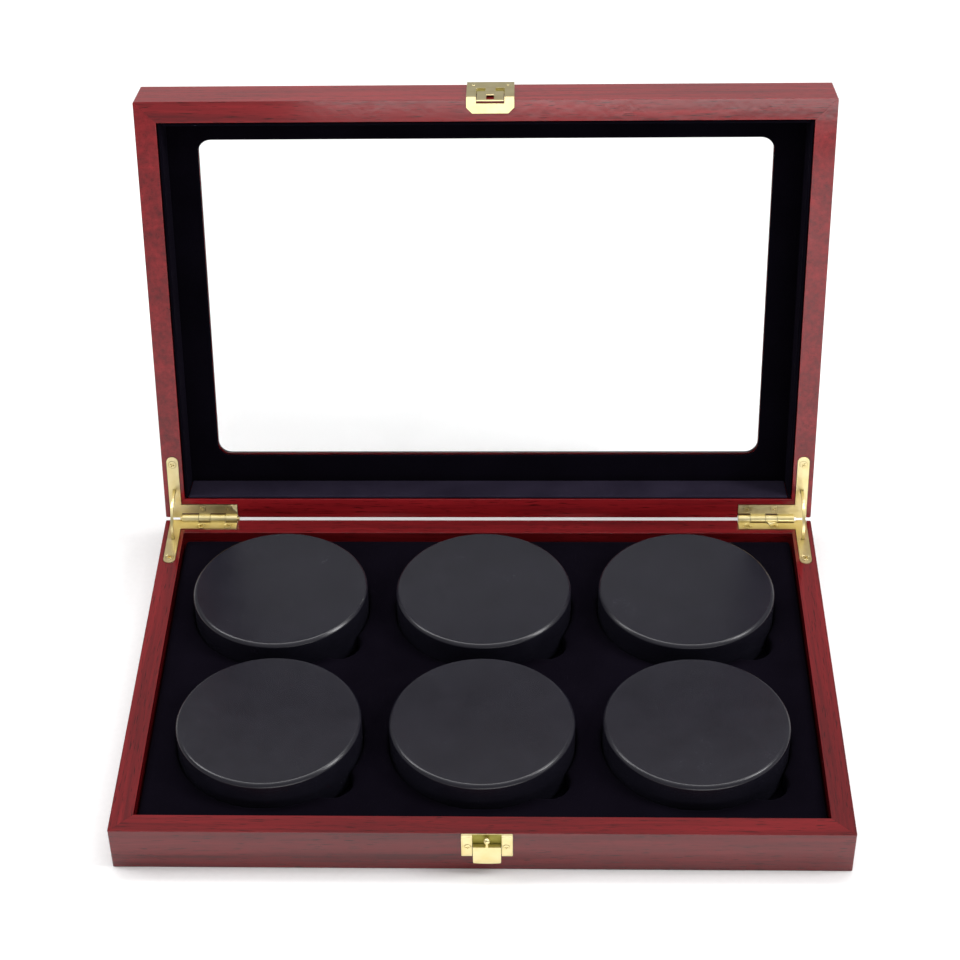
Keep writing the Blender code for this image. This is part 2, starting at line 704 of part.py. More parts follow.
def add_hinge(side_name, side, base_rails, lid_rails, lid_pivot):
    base_knuckles = 0 if side > 0 else 1
    add_leaf(f"hinge_{side_name}_base_leaf", side, -1, base_knuckles, base_rails, None)
    add_leaf(f"hinge_{side_name}_lid_leaf", side, 1, 1 - base_knuckles, lid_rails, lid_pivot)
    pin_name = f"hinge_{side_name}_pin"
    ends = [(side * x, AXIS.y, AXIS.z) for x in (BARREL_INNER_X, BARREL_OUTER_X)]
    pin = cone_mesh(pin_name, *ends, HINGE_PIN_RADIUS, HINGE_PIN_RADIUS)
    shade_round(add_object(pin_name, pin, STEEL))
    stay_pivot = add_empty(f"stay_{side_name}_axis", AXIS, -LID_OPEN / 2)
    add_stay(f"hinge_{side_name}_stay", side, stay_pivot)


# Push latch


def latch_screw(name, x, z, grow=0.0):
    """A small pin-headed screw driven back into the front of the case, or, grown, its hole."""
    head_y = FRONT_Y - HOUSING_PROUD - (CUT_PAST if grow else SCREW_HEAD_CROWN)
    head = LATCH_SCREW_HEAD_RADIUS + grow
    seat_y = FRONT_Y - HOUSING_PROUD + LATCH_SCREW_HEAD_DEPTH
    shank = LATCH_SCREW_SHANK_RADIUS + grow
    end_y = FRONT_Y + LATCH_SCREW_LENGTH + grow
    mesh = cone_mesh(name, (x, head_y, z), (x, seat_y + grow, z), head, head)
    shank_mesh = cone_mesh(name, (x, seat_y - METAL_GAP, z), (x, end_y, z), shank, shank)
    return mesh, shank_mesh


def add_latch_housing(front_rail):
    """The pressed housing: a block with an open channel down its middle for the lever and the tongue."""
    back_y = FRONT_Y - METAL_GAP
    front_y = FRONT_Y - HOUSING_PROUD
    half = HOUSING_WIDTH / 2
    low_z = BASE_HEIGHT - HOUSING_HEIGHT
    block = box_mesh("latch_housing", (LATCH_X - half, front_y, low_z), (LATCH_X + half, back_y, BASE_HEIGHT))
    housing = add_object("latch_housing", block, BRASS)
    round_edges(housing, HOUSING_ROUNDING)
    half = CHANNEL_WIDTH / 2
    low = (LATCH_X - half, front_y - CUT_PAST, low_z - CUT_PAST)
    high = (LATCH_X + half, back_y - HOUSING_WEB, BASE_HEIGHT + CUT_PAST)
    channel = add_object("latch_channel", box_mesh("channel", low, high))
    pin_radius = LATCH_PIN_RADIUS + PIN_CLEARANCE
    bore = cone_mesh("bore", *latch_pin_ends(PIN_CLEARANCE), pin_radius, pin_radius)
    add_cuts(housing, [channel, add_object("latch_pin_bore", bore)])
    for side_name, side in (("left", -1), ("right", 1)):
        x = LATCH_X + side * LATCH_SCREW_SPACING / 2
        z = BASE_HEIGHT - LATCH_SCREW_DROP
        name = f"latch_screw_{side_name}"
        head, shank = latch_screw(name, x, z)
        screw = add_object(name, head, BRASS)
        add_cuts(screw, [add_object(f"{name}_shank", shank)], "UNION")
        shade_round(screw)
        holes = [add_object(f"{name}_hole", mesh) for mesh in latch_screw(name, x, z, METAL_GAP)]
        add_cuts(housing, holes)
        add_cuts(front_rail, holes)


def latch_pin_ends(past=0.0):
    reach = CHANNEL_WIDTH / 2 + LATCH_PIN_SEAT + past
    y = FRONT_Y - LEVER_PIVOT_OFFSET
    z = BASE_HEIGHT - LEVER_PIVOT_DROP
    return [(LATCH_X - reach, y, z), (LATCH_X + reach, y, z)]


def add_lever(pivot):
    """The lever: a press tab, a finger above it with a nub that holds the tongue, and two curled ears."""
    back = FRONT_Y - LEVER_BACK_OFFSET
    front = back - LEVER_THICKNESS
    half = CHANNEL_WIDTH / 2 - LEVER_SIDE_GAP
    top = BASE_HEIGHT - LEVER_TOP_DROP
    bottom = BASE_HEIGHT - LEVER_BOTTOM_DROP
    tab = box_mesh("latch_lever", (LATCH_X - half, front, bottom), (LATCH_X + half, back, top))
    lever = add_object("latch_lever", tab, BRASS, pivot)
    half_finger = FINGER_WIDTH / 2
    finger_top = BASE_HEIGHT - FINGER_TOP_DROP
    low = (LATCH_X - half_finger, front, top - LEVER_THICKNESS)
    finger = box_mesh("finger", low, (LATCH_X + half_finger, back, finger_top))
    nub_z = BASE_HEIGHT - NUB_DROP
    nub_ends = ((LATCH_X, back - LEVER_THICKNESS / 2, nub_z), (LATCH_X, back + NUB_REACH, nub_z))
    nub = cone_mesh("nub", *nub_ends, NUB_RADIUS, NUB_TIP_RADIUS)
    joins = [add_object("lever_finger", finger, pivot=pivot), add_object("lever_nub", nub, pivot=pivot)]
    pivot_y = FRONT_Y - LEVER_PIVOT_OFFSET
    pivot_z = BASE_HEIGHT - LEVER_PIVOT_DROP
    for start, end in ((-half, LEVER_EAR_LENGTH - half), (half - LEVER_EAR_LENGTH, half)):
        ends = [(LATCH_X + x, pivot_y, pivot_z) for x in (start, end)]
        mesh = cone_mesh("ear", *ends, LEVER_BARREL_RADIUS, LEVER_BARREL_RADIUS)
        joins.append(add_object("lever_ear", mesh, pivot=pivot))
    add_cuts(lever, joins, "UNION")
    bore_radius = LATCH_PIN_RADIUS + PIN_CLEARANCE
    bore = cone_mesh("bore", *latch_pin_ends(), bore_radius, bore_radius)
    add_cuts(lever, [add_object("lever_bore", bore, pivot=pivot)])


def add_latch_spring():
    """A torsion coil around the pin, between the lever's ears."""
    radius = LATCH_PIN_RADIUS + PIN_CLEARANCE + SPRING_WIRE
    count = SPRING_TURNS * SPRING_SIDES
    curve = bpy.data.curves.new("latch_spring", "CURVE")
    curve.dimensions = "3D"
    curve.bevel_depth = SPRING_WIRE
    curve.bevel_resolution = 1
    curve.use_fill_caps = True
    spline = curve.splines.new("POLY")
    spline.points.add(count)
    for index, point in enumerate(spline.points):
        angle = 2 * math.pi * index / SPRING_SIDES
        x = LATCH_X + SPRING_LENGTH * (index / count - 0.5)
        y = FRONT_Y - LEVER_PIVOT_OFFSET + radius * math.cos(angle)
        z = BASE_HEIGHT - LEVER_PIVOT_DROP + radius * math.sin(angle)
        point.co = (x, y, z, 1)
    curve.materials.append(STEEL)
    parts.objects.link(bpy.data.objects.new("latch_spring", curve))


def add_latch(front_rail):
    add_latch_housing(front_rail)
    ends = latch_pin_ends()
    pin = cone_mesh("latch_pin", *ends, LATCH_PIN_RADIUS, LATCH_PIN_RADIUS)
    shade_round(add_object("latch_pin", pin, STEEL))
    pivot = add_empty("lever_axis", (Vector(ends[0]) + Vector(ends[1])) / 2)
    add_lever(pivot)
    add_latch_spring()


# Catch plate


def catch_outline():
    """The rim leaf of the catch seen from above, with its two inner corners cut."""
    half = CATCH_WIDTH / 2
    front = FRONT_Y - METAL_GAP - CATCH_THICKNESS
    inner = FRONT_Y + CATCH_RIM_DEPTH
    cut = CATCH_CORNER_CUT
    points = [(-half, front), (half, front), (half, inner - cut), (half - cut, inner)]
    points += [(-half + cut, inner), (-half, inner - cut)]
    return [(LATCH_X + x, y) for x, y in points]


def grown(points, centre, grow):
    """An outline spread by a fixed distance along X and Y, away from a centre."""
    spread = []
    for x, y in points:
        spread.append((x + math.copysign(grow, x - centre[0]), y + math.copysign(grow, y - centre[1])))
    return spread


def add_tongue(pivot):
    """The hasp tongue with its neck and its hole, as cutters to be joined to the plate and cut from it."""
    front = FRONT_Y - METAL_GAP - CATCH_THICKNESS
    back = front + TONGUE_THICKNESS
    half = TONGUE_WIDTH / 2
    low_z = LID_RIM_Z - TONGUE_REACH
    high_z = LID_RIM_Z + TONGUE_TOP
    plate = box_mesh("tongue", (LATCH_X - half, front, low_z), (LATCH_X + half, back, high_z))
    half = TONGUE_NECK_WIDTH / 2
    neck_top = LID_RIM_Z + CATCH_WINDOW_TOP + TONGUE_THICKNESS
    low = (LATCH_X - half, front, high_z - TONGUE_THICKNESS)
    neck = box_mesh("neck", low, (LATCH_X + half, back, neck_top))
    half = TONGUE_HOLE_WIDTH / 2
    low = (LATCH_X - half, front - CUT_PAST, low_z + TONGUE_END_BAR)
    hole = box_mesh("hole", low, (LATCH_X + half, back + METAL_GAP, LID_RIM_Z + TONGUE_HOLE_TOP))
    joins = [add_object("tongue_plate", plate, pivot=pivot), add_object("tongue_neck", neck, pivot=pivot)]
    return joins, [add_object("tongue_hole", hole, pivot=pivot)]


def add_catch(lid_front_rail, pivot):
    """The catch: a leaf on the lid's front, bent over its rim, with the tongue in a window."""
    front = FRONT_Y - METAL_GAP - CATCH_THICKNESS
    back = FRONT_Y - METAL_GAP
    half = CATCH_WIDTH / 2
    low_z = LID_RIM_Z - CATCH_RIM_PROUD
    high = (LATCH_X + half, back, LID_RIM_Z + CATCH_HEIGHT)
    leaf = box_mesh("catch_plate", (LATCH_X - half, front, low_z), high)
    catch = add_object("catch_plate", leaf, BRASS, pivot)
    rim_top = low_z + CATCH_RIM_THICKNESS
    rim = add_object("catch_rim", plate_mesh("rim", [catch_outline()], low_z, rim_top), pivot=pivot)
    add_cuts(catch, [rim], "UNION")
    half = CATCH_WINDOW_WIDTH / 2
    low = (LATCH_X - half, front - CUT_PAST, low_z - CUT_PAST)
    high = (LATCH_X + half, FRONT_Y + CATCH_WINDOW_RIM_DEPTH, LID_RIM_Z + CATCH_WINDOW_TOP)
    window = add_object("catch_window", box_mesh("window", low, high), pivot=pivot)
    add_cuts(catch, [window])
    joins, holes = add_tongue(pivot)
    add_cuts(catch, joins, "UNION")
    add_cuts(catch, holes)
    seat_outline = grown(catch_outline(), (LATCH_X, FRONT_Y + CATCH_RIM_DEPTH / 2), METAL_GAP)
    seat = plate_mesh("seat", [seat_outline], low_z - CUT_PAST, rim_top + METAL_GAP)
    add_cuts(lid_front_rail, [add_object("catch_seat", seat, pivot=pivot)])
    for side_name, side in (("left", -1), ("right", 1)):
        name = f"catch_pin_{side_name}"
        x = LATCH_X + side * CATCH_PIN_SPACING / 2
        z = LID_RIM_Z + CATCH_PIN_HEIGHT
        radius = CATCH_PIN_RADIUS
        end_y = FRONT_Y + CATCH_PIN_LENGTH
        pin = cone_mesh(name, (x, front - SCREW_HEAD_CROWN, z), (x, end_y, z), radius, CATCH_PIN_TIP_RADIUS)
        shade_round(add_object(name, pin, BRASS, pivot))
        grow = PIN_CLEARANCE
        ends = ((x, front - CUT_PAST, z), (x, end_y + METAL_GAP, z))
        hole = add_object(f"{name}_hole", cone_mesh("hole", *ends, radius + grow, radius + grow), pivot=pivot)
        add_cuts(catch, [hole])
        add_cuts(lid_front_rail, [hole])


def build():
    lid_pivot = add_empty("lid_axis", AXIS, -LID_OPEN)
    base_rails = add_rails("base", base_section(), None)
    lid_rails = add_rails("lid", lid_section(), lid_pivot)
    add_base_filling()
    add_insert()
    add_stones()
    add_lid_panels(lid_pivot)
    add_linings(lid_pivot)
    add_hinge("left", -1, base_rails, lid_rails, lid_pivot)
    add_hinge("right", 1, base_rails, lid_rails, lid_pivot)
    add_latch(base_rails["front"])
    add_catch(lid_rails["front"], lid_pivot)


build()
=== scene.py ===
import json
import math

import bpy
from mathutils import Matrix, Vector


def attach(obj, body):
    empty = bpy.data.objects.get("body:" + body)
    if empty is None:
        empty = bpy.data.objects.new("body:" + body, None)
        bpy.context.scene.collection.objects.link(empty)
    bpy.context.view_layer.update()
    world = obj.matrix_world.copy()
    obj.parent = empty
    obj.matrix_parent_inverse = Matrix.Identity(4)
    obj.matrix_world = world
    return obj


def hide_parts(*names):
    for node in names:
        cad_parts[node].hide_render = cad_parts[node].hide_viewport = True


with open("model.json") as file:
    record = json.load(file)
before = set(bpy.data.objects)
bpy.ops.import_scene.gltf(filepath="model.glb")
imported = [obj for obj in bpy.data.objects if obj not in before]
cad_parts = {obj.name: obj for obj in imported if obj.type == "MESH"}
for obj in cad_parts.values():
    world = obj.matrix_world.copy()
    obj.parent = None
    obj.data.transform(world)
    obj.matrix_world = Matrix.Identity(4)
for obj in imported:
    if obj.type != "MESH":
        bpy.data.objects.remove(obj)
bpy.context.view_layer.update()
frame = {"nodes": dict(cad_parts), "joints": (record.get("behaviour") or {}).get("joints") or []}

print("frame loaded")

# All lengths are in metres. The lid's pieces are modelled on the closed case and then swung open.
hinge = next(joint for joint in frame["joints"] if joint["name"] == "lid_hinge")
hingeAxis = Vector(hinge["pos_m"])
openAngle = math.radians(-min(hinge["range_deg"]))

case = {
    "width": 0.308,
    "depth": 0.204,
    "baseHeight": 0.0213,
    "lidHeight": 0.0233,
    "closedGap": 0.001,
    "rail": 0.0096,            # thickness of the moulded sides
    "rebate": 0.005,
    "cornerRounding": 0.0007,
    "edgeRounding": 0.0004,
    "mitreGap": 0.00002,
    "bottomRebate": 0.0046,    # height of the step for the felt and the bottom panel
    "topPanel": 0.004,
}
cutPast = 0.001                # how far a cutter runs past a face
frontY = -case["depth"] / 2
backY = case["depth"] / 2
rimZ = case["baseHeight"]                  # top of the base
lidRimZ = rimZ + case["closedGap"]         # bottom of the closed lid
lidTopZ = lidRimZ + case["lidHeight"]
innerX = case["width"] / 2 - case["rail"]
innerY = case["depth"] / 2 - case["rail"]


# Working tools

def deselectAll():
    if bpy.context.object and bpy.context.object.mode != "OBJECT":
        bpy.ops.object.mode_set(mode="OBJECT")
    bpy.ops.object.select_all(action="DESELECT")


def pick(piece):
    deselectAll()
    piece.select_set(True)
    bpy.context.view_layer.objects.active = piece


def setPlace(piece):
    pick(piece)
    bpy.ops.object.transform_apply(location=True, rotation=True, scale=True)


def addBlock(name, low, high):
    low, high = Vector(low), Vector(high)
    deselectAll()
    bpy.ops.mesh.primitive_cube_add(size=1, location=(low + high) / 2)
    block = bpy.context.object
    block.name = name
    block.scale = high - low
    setPlace(block)
    return block


def addRod(name, start, end, radius, sides=32, endRadius=None):
    start, end = Vector(start), Vector(end)
    deselectAll()
    bpy.ops.mesh.primitive_cone_add(vertices=sides, radius1=radius, radius2=radius if endRadius is None else endRadius,
                                    depth=(end - start).length, location=(start + end) / 2)
    rod = bpy.context.object
    rod.name = name
    rod.rotation_mode = "QUATERNION"
    rod.rotation_quaternion = (end - start).to_track_quat("Z", "Y")
    setPlace(rod)
    rod.rotation_mode = "XYZ"
    return rod


def addBall(name, centre, radius):
    deselectAll()
    bpy.ops.mesh.primitive_uv_sphere_add(segments=32, ring_count=16, radius=radius, location=centre)
    ball = bpy.context.object
    ball.name = name
    setPlace(ball)
    return ball


def copyOf(piece, name):
    twin = piece.copy()
    twin.data = piece.data.copy()
    twin.name = name
    bpy.context.scene.collection.objects.link(twin)
    return twin


def cutWith(piece, tool, operation="DIFFERENCE"):
    pick(piece)
    cut = piece.modifiers.new("cut", "BOOLEAN")
    cut.operation = operation
    cut.solver = "EXACT"
    cut.object = tool
    bpy.ops.object.modifier_apply(modifier=cut.name)
    bpy.data.objects.remove(tool)


def joinWith(piece, tool):
    cutWith(piece, tool, "UNION")


def chooseEdges(piece, wanted):
    pick(piece)
    bpy.ops.object.mode_set(mode="EDIT")
    bpy.ops.mesh.select_mode(type="EDGE")
    bpy.ops.mesh.select_all(action="DESELECT")
    bpy.ops.object.mode_set(mode="OBJECT")
    points = [vertex.co for vertex in piece.data.vertices]
    for edge in piece.data.edges:
        edge.select = wanted(points[edge.vertices[0]], points[edge.vertices[1]])
    bpy.ops.object.mode_set(mode="EDIT")


def chooseFaces(piece, wanted):
    pick(piece)
    bpy.ops.object.mode_set(mode="EDIT")
    bpy.ops.mesh.select_mode(type="FACE")
    bpy.ops.mesh.select_all(action="DESELECT")
    bpy.ops.object.mode_set(mode="OBJECT")
    for face in piece.data.polygons:
        face.select = wanted(face.center, face.normal)
    bpy.ops.object.mode_set(mode="EDIT")


def roundEdges(piece, wanted, width, segments):
    chooseEdges(piece, wanted)
    bpy.ops.mesh.bevel(offset=width, segments=segments, profile=0.5, affect="EDGES")
    bpy.ops.object.mode_set(mode="OBJECT")


def softenEdges(piece, width, segments=2, angle=40):
    pick(piece)
    soften = piece.modifiers.new("soften", "BEVEL")
    soften.width = width
    soften.segments = segments
    soften.limit_method = "ANGLE"
    soften.angle_limit = math.radians(angle)
    bpy.ops.object.modifier_apply(modifier=soften.name)


def keepSide(piece, point, normal):
    # saws the piece upright through the point and keeps what the normal points to
    offcut = addBlock("offcut", (-0.6, -0.6, -0.2), (0, 0.6, 0.2))
    offcut.rotation_euler = (0, 0, math.atan2(normal.y, normal.x))
    offcut.location = point
    setPlace(offcut)
    cutWith(piece, offcut)


def swingOpen(piece):
    piece.rotation_euler = (-openAngle, 0, 0)
    piece.location = hingeAxis - Matrix.Rotation(-openAngle, 3, "X") @ hingeAxis
    setPlace(piece)


def paintPart(piece, material, partMaterial, wanted):
    # a second finish on the faces that are wanted
    piece.data.materials.append(material)
    piece.data.materials.append(partMaterial)
    for face in piece.data.polygons:
        face.material_index = int(wanted(face.center, face.normal))


def finishPiece(piece, body, material, nodes, smoothAngle=35):
    pick(piece)
    bpy.ops.object.shade_smooth_by_angle(angle=math.radians(smoothAngle))
    flats = piece.modifiers.new("flats", "WEIGHTED_NORMAL")
    flats.keep_sharp = True
    bpy.ops.object.modifier_apply(modifier=flats.name)
    if not piece.data.materials:
        piece.data.materials.append(material)
    if body == "lid":
        swingOpen(piece)
    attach(piece, body)
    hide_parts(*nodes)


def upright(start, end):
    return abs(start.x - end.x) + abs(start.y - end.y) < 0.00001


# Materials

def hexColour(text):
    channels = [int(text[place:place + 2], 16) / 255 for place in (1, 3, 5)]
    return [c / 12.92 if c <= 0.04045 else ((c + 0.055) / 1.055) ** 2.4 for c in channels] + [1.0]


def addNode(tree, kind, settings=None, inputs=None, stops=()):
    node = tree.nodes.new("ShaderNode" + kind)
    for name, value in (settings or {}).items():
        setattr(node, name, value)
    for name, value in (inputs or {}).items():
        if isinstance(value, bpy.types.NodeSocket):
            tree.links.new(value, node.inputs[name])
        else:
            node.inputs[name].default_value = value
    for index, (position, value) in enumerate(stops):
        ramp = node.color_ramp.elements
        stop = ramp[index] if index < len(ramp) else ramp.new(position)
        stop.position = position
        stop.color = hexColour(value) if isinstance(value, str) else (value, value, value, 1)
    return node


def newMaterial(name):
    material = bpy.data.materials.new(name)
    material.use_nodes = True
    tree = material.node_tree
    place = addNode(tree, "TexCoord").outputs["Object"]
    return material, tree, tree.nodes["Principled BSDF"], place


def feed(tree, shader, inputs):
    for name, value in inputs.items():
        if isinstance(value, bpy.types.NodeSocket):
            tree.links.new(value, shader.inputs[name])
        else:
            shader.inputs[name].default_value = value


# Lacquered mahogany: stained, sprayed with a clear gloss and rubbed down. Long wavy streaks, short
# dark pores and a hard even shine.
mahogany = {
    "dark": "#4A080D",
    "middle": "#660D12",
    "light": "#791419",
    "streakWidth": 0.0022,
    "streakLength": 0.070,
    "poreWidth": 0.0004,       # real pores are finer, and this is the finest that shows
    "poreLength": 0.008,
    "waveHeight": 0.004,
}


def lacqueredMahogany(name, turn=(0, 0, 0), paintedLight=1.0):
    # turn brings the grain onto the X axis; the last argument above 1 lightens the colour, as painted light and
    # reflection
    material, tree, shader, place = newMaterial(name)
    along = addNode(tree, "Mapping", {}, {"Vector": place, "Rotation": turn}).outputs["Vector"]
    slow = addNode(tree, "Mapping", {}, {"Vector": along, "Scale": (14, 55, 55)}).outputs["Vector"]
    wave = addNode(tree, "TexNoise", {}, {"Vector": slow, "Scale": 1, "Detail": 2})
    centred = addNode(tree, "VectorMath", {"operation": "SUBTRACT"}, {0: wave.outputs["Color"], 1: (0.5, 0.5, 0.5)})
    bend = addNode(tree, "VectorMath", {"operation": "MULTIPLY"},
                   {0: centred.outputs[0], 1: (0, mahogany["waveHeight"], mahogany["waveHeight"])})
    bent = addNode(tree, "VectorMath", {"operation": "ADD"}, {0: along, 1: bend.outputs[0]}).outputs[0]
    across, length = 1 / mahogany["streakWidth"], 1 / mahogany["streakLength"]
    streakPlace = addNode(tree, "Mapping", {}, {"Vector": bent, "Scale": (length, across, across)}).outputs["Vector"]
    streaks = addNode(tree, "TexNoise", {}, {"Vector": streakPlace, "Scale": 1, "Detail": 4, "Roughness": 0.6})
    broadPlace = addNode(tree, "Mapping", {}, {"Vector": bent, "Scale": (6, 120, 120)}).outputs["Vector"]
    broad = addNode(tree, "TexNoise", {}, {"Vector": broadPlace, "Scale": 1, "Detail": 2})
    figure = addNode(tree, "Mix", {"data_type": "FLOAT"},
                     {"Factor": 0.45, "A": streaks.outputs["Fac"], "B": broad.outputs["Fac"]})
    tone = addNode(tree, "ValToRGB", {}, {"Fac": figure.outputs["Result"]},
                   [(0.32, mahogany["dark"]), (0.5, mahogany["middle"]), (0.68, mahogany["light"])])
    across, length = 1 / mahogany["poreWidth"], 1 / mahogany["poreLength"]
    porePlace = addNode(tree, "Mapping", {}, {"Vector": bent, "Scale": (length, across, across)}).outputs["Vector"]
    pores = addNode(tree, "TexNoise", {}, {"Vector": porePlace, "Scale": 1, "Detail": 1})
    poreMask = addNode(tree, "ValToRGB", {}, {"Fac": pores.outputs["Fac"]}, [(0.28, 1.0), (0.38, 0.0)])
    colour = addNode(tree, "Mix", {"data_type": "RGBA", "blend_type": "MULTIPLY"},
                     {"Factor": poreMask.outputs["Color"], "A": tone.outputs["Color"], "B": hexColour("#8A6A66")})
    toneWithPaintedLight = addNode(tree, "HueSaturation", {}, {"Value": paintedLight, "Color": colour.outputs["Result"]})
    rough = addNode(tree, "MapRange", {}, {"Value": figure.outputs["Result"], "To Min": 0.4, "To Max": 0.5})
    sprayed = addNode(tree, "TexNoise", {}, {"Vector": place, "Scale": 260, "Detail": 1})
    ripple = addNode(tree, "Bump", {}, {"Strength": 0.02, "Distance": 0.0006, "Height": sprayed.outputs["Fac"]})
    grainBump = addNode(tree, "Bump", {}, {"Strength": 0.15, "Distance": 0.0001, "Height": pores.outputs["Fac"],
                                           "Normal": ripple.outputs["Normal"]})
    feed(tree, shader, {
        "Base Color": toneWithPaintedLight.outputs["Color"],
        "Roughness": rough.outputs["Result"],
        "IOR": 1.5,
        "Specular IOR Level": 0.06,
        "Normal": grainBump.outputs["Normal"],
        "Coat Weight": 1.0,
        "Coat Roughness": 0.08,
        "Coat Normal": ripple.outputs["Normal"],
    })
    return material


# Black velvet: short dense pile glued to card. Nearly no light comes back, with a faint violet
# bloom where the pile is seen from the side.
# the two lighter colours are painted sheen and light for the lining that faces up
velvet = {"colour": "#040208", "brushed": "#09060F", "paintedSheen": "#1D1926", "paintedSheenBrushed": "#2C2736", "pile": 0.0004,
          "patch": 0.035}


def blackVelvet(name, colour, brushedColour):
    material, tree, shader, place = newMaterial(name)
    pile = addNode(tree, "TexNoise", {}, {"Vector": place, "Scale": 1 / velvet["pile"], "Detail": 2})
    patch = addNode(tree, "TexNoise", {}, {"Vector": place, "Scale": 1 / velvet["patch"], "Detail": 3})
    brushed = addNode(tree, "Mix", {"data_type": "FLOAT"},
                      {"Factor": 0.3, "A": patch.outputs["Fac"], "B": pile.outputs["Fac"]})
    tone = addNode(tree, "ValToRGB", {}, {"Fac": brushed.outputs["Result"]},
                   [(0.35, colour), (0.65, brushedColour)])
    nap = addNode(tree, "Bump", {}, {"Strength": 0.5, "Distance": 0.0003, "Height": pile.outputs["Fac"]})
    feed(tree, shader, {
        "Base Color": tone.outputs["Color"],
        "Roughness": 1.0,
        "Specular IOR Level": 0.05,
        "Normal": nap.outputs["Normal"],
        "Sheen Weight": 0.03,
        "Sheen Roughness": 0.35,
        "Sheen Tint": hexColour("#8A78B0"),
    })
    return material


# Honed basalt: sawn, ground with fine grit and oiled. Dark grey with specks of feldspar too small
# to tell apart, and a dull even shine that tightens on the rounded edge.
basalt = {"dark": "#13121A", "light": "#1C1B24", "grain": 0.0008, "cloud": 0.012}


def honedBasalt(name):
    material, tree, shader, place = newMaterial(name)
    grain = addNode(tree, "TexNoise", {}, {"Vector": place, "Scale": 1 / basalt["grain"], "Detail": 3})
    cloud = addNode(tree, "TexNoise", {}, {"Vector": place, "Scale": 1 / basalt["cloud"], "Detail": 3})
    mixed = addNode(tree, "Mix", {"data_type": "FLOAT"},
                    {"Factor": 0.5, "A": grain.outputs["Fac"], "B": cloud.outputs["Fac"]})
    tone = addNode(tree, "ValToRGB", {}, {"Fac": mixed.outputs["Result"]},
                   [(0.3, basalt["dark"]), (0.7, basalt["light"])])
    rough = addNode(tree, "MapRange", {}, {"Value": mixed.outputs["Result"], "To Min": 0.22, "To Max": 0.3})
    pits = addNode(tree, "Bump", {}, {"Strength": 0.08, "Distance": 0.0002, "Height": grain.outputs["Fac"]})
    feed(tree, shader, {
        "Base Color": tone.outputs["Color"],
        "Roughness": rough.outputs["Result"],
        "IOR": 1.55,
        "Specular IOR Level": 0.4,
        "Normal": pits.outputs["Normal"],
    })
    return material


# Polished brass: stamped from sheet, buffed and plated. Pale gold, satin rather than mirror, with
# soft ripples in the shine. The copy for the hollows is rougher and has a darker olive colour that
# is painted shade.
brass = {"colour": "#F1E3B0", "deep": "#E8D79A", "shadedColour": "#A9A255", "shadedDeep": "#8C8440", "ripple": 0.005}


def polishedBrass(name, colour, deepColour, smoothest, roughest):
    material, tree, shader, place = newMaterial(name)
    waves = addNode(tree, "TexNoise", {}, {"Vector": place, "Scale": 1 / brass["ripple"], "Detail": 2})
    tone = addNode(tree, "ValToRGB", {}, {"Fac": waves.outputs["Fac"]}, [(0.3, deepColour), (0.7, colour)])
    rough = addNode(tree, "MapRange", {}, {"Value": waves.outputs["Fac"], "To Min": smoothest, "To Max": roughest})
    ripple = addNode(tree, "Bump", {}, {"Strength": 0.15, "Distance": 0.0004, "Height": waves.outputs["Fac"]})
    feed(tree, shader, {
        "Base Color": tone.outputs["Color"],
        "Metallic": 1.0,
        "Roughness": rough.outputs["Result"],
        "Normal": ripple.outputs["Normal"],
    })
    return material


# Spring steel: drawn wire and rod, bright with fine lines along it.
def springSteel(name):
    material, tree, shader, place = newMaterial(name)
    lines = addNode(tree, "Mapping", {}, {"Vector": place, "Scale": (60, 3000, 3000)}).outputs["Vector"]
    drawn = addNode(tree, "TexNoise", {}, {"Vector": lines, "Scale": 1, "Detail": 2})
    rough = addNode(tree, "MapRange", {}, {"Value": drawn.outputs["Fac"], "To Min": 0.2, "To Max": 0.4})
    tone = addNode(tree, "ValToRGB", {}, {"Fac": drawn.outputs["Fac"]}, [(0.3, "#8E8E90"), (0.7, "#B8B8BA")])
    feed(tree, shader, {"Base Color": tone.outputs["Color"], "Metallic": 1.0, "Roughness": rough.outputs["Result"]})
    return material


# Clear float glass: flat and colourless, with the faintest smears from wiping.
def clearGlass(name):
    material, tree, shader, place = newMaterial(name)
    smear = addNode(tree, "TexNoise", {}, {"Vector": place, "Scale": 9, "Detail": 3})
    rough = addNode(tree, "MapRange", {}, {"Value": smear.outputs["Fac"], "To Min": 0.0, "To Max": 0.02})
    feed(tree, shader, {
        "Base Color": hexColour("#FDFEFE"),
        "Roughness": rough.outputs["Result"],
        "IOR": 1.5,
        "Transmission Weight": 1.0,
    })
    return material


# Wool felt: pressed, dyed black, with short fibres lying every way.
def blackFelt(name):
    material, tree, shader, place = newMaterial(name)
    fibres = addNode(tree, "TexNoise", {}, {"Vector": place, "Scale": 900, "Detail": 4, "Distortion": 1.5})
    tone = addNode(tree, "ValToRGB", {}, {"Fac": fibres.outputs["Fac"]}, [(0.35, "#0E0E0F"), (0.65, "#1D1D1F")])
    nap = addNode(tree, "Bump", {}, {"Strength": 0.8, "Distance": 0.0003, "Height": fibres.outputs["Fac"]})
    feed(tree, shader, {"Base Color": tone.outputs["Color"], "Roughness": 1.0, "Specular IOR Level": 0.1,
                        "Sheen Weight": 0.2, "Sheen Roughness": 0.5, "Normal": nap.outputs["Normal"]})
    return material


# Hardboard: pressed wood fibre, brown and matt.
def pressedBoard(name):
    material, tree, shader, place = newMaterial(name)
    fibres = addNode(tree, "TexNoise", {}, {"Vector": place, "Scale": 700, "Detail": 4, "Distortion": 1})
    tone = addNode(tree, "ValToRGB", {}, {"Fac": fibres.outputs["Fac"]}, [(0.35, "#4B3323"), (0.65, "#6B4B33")])
    nap = addNode(tree, "Bump", {}, {"Strength": 0.4, "Distance": 0.0002, "Height": fibres.outputs["Fac"]})
    feed(tree, shader, {"Base Color": tone.outputs["Color"], "Roughness": 0.75, "Normal": nap.outputs["Normal"]})
    return material


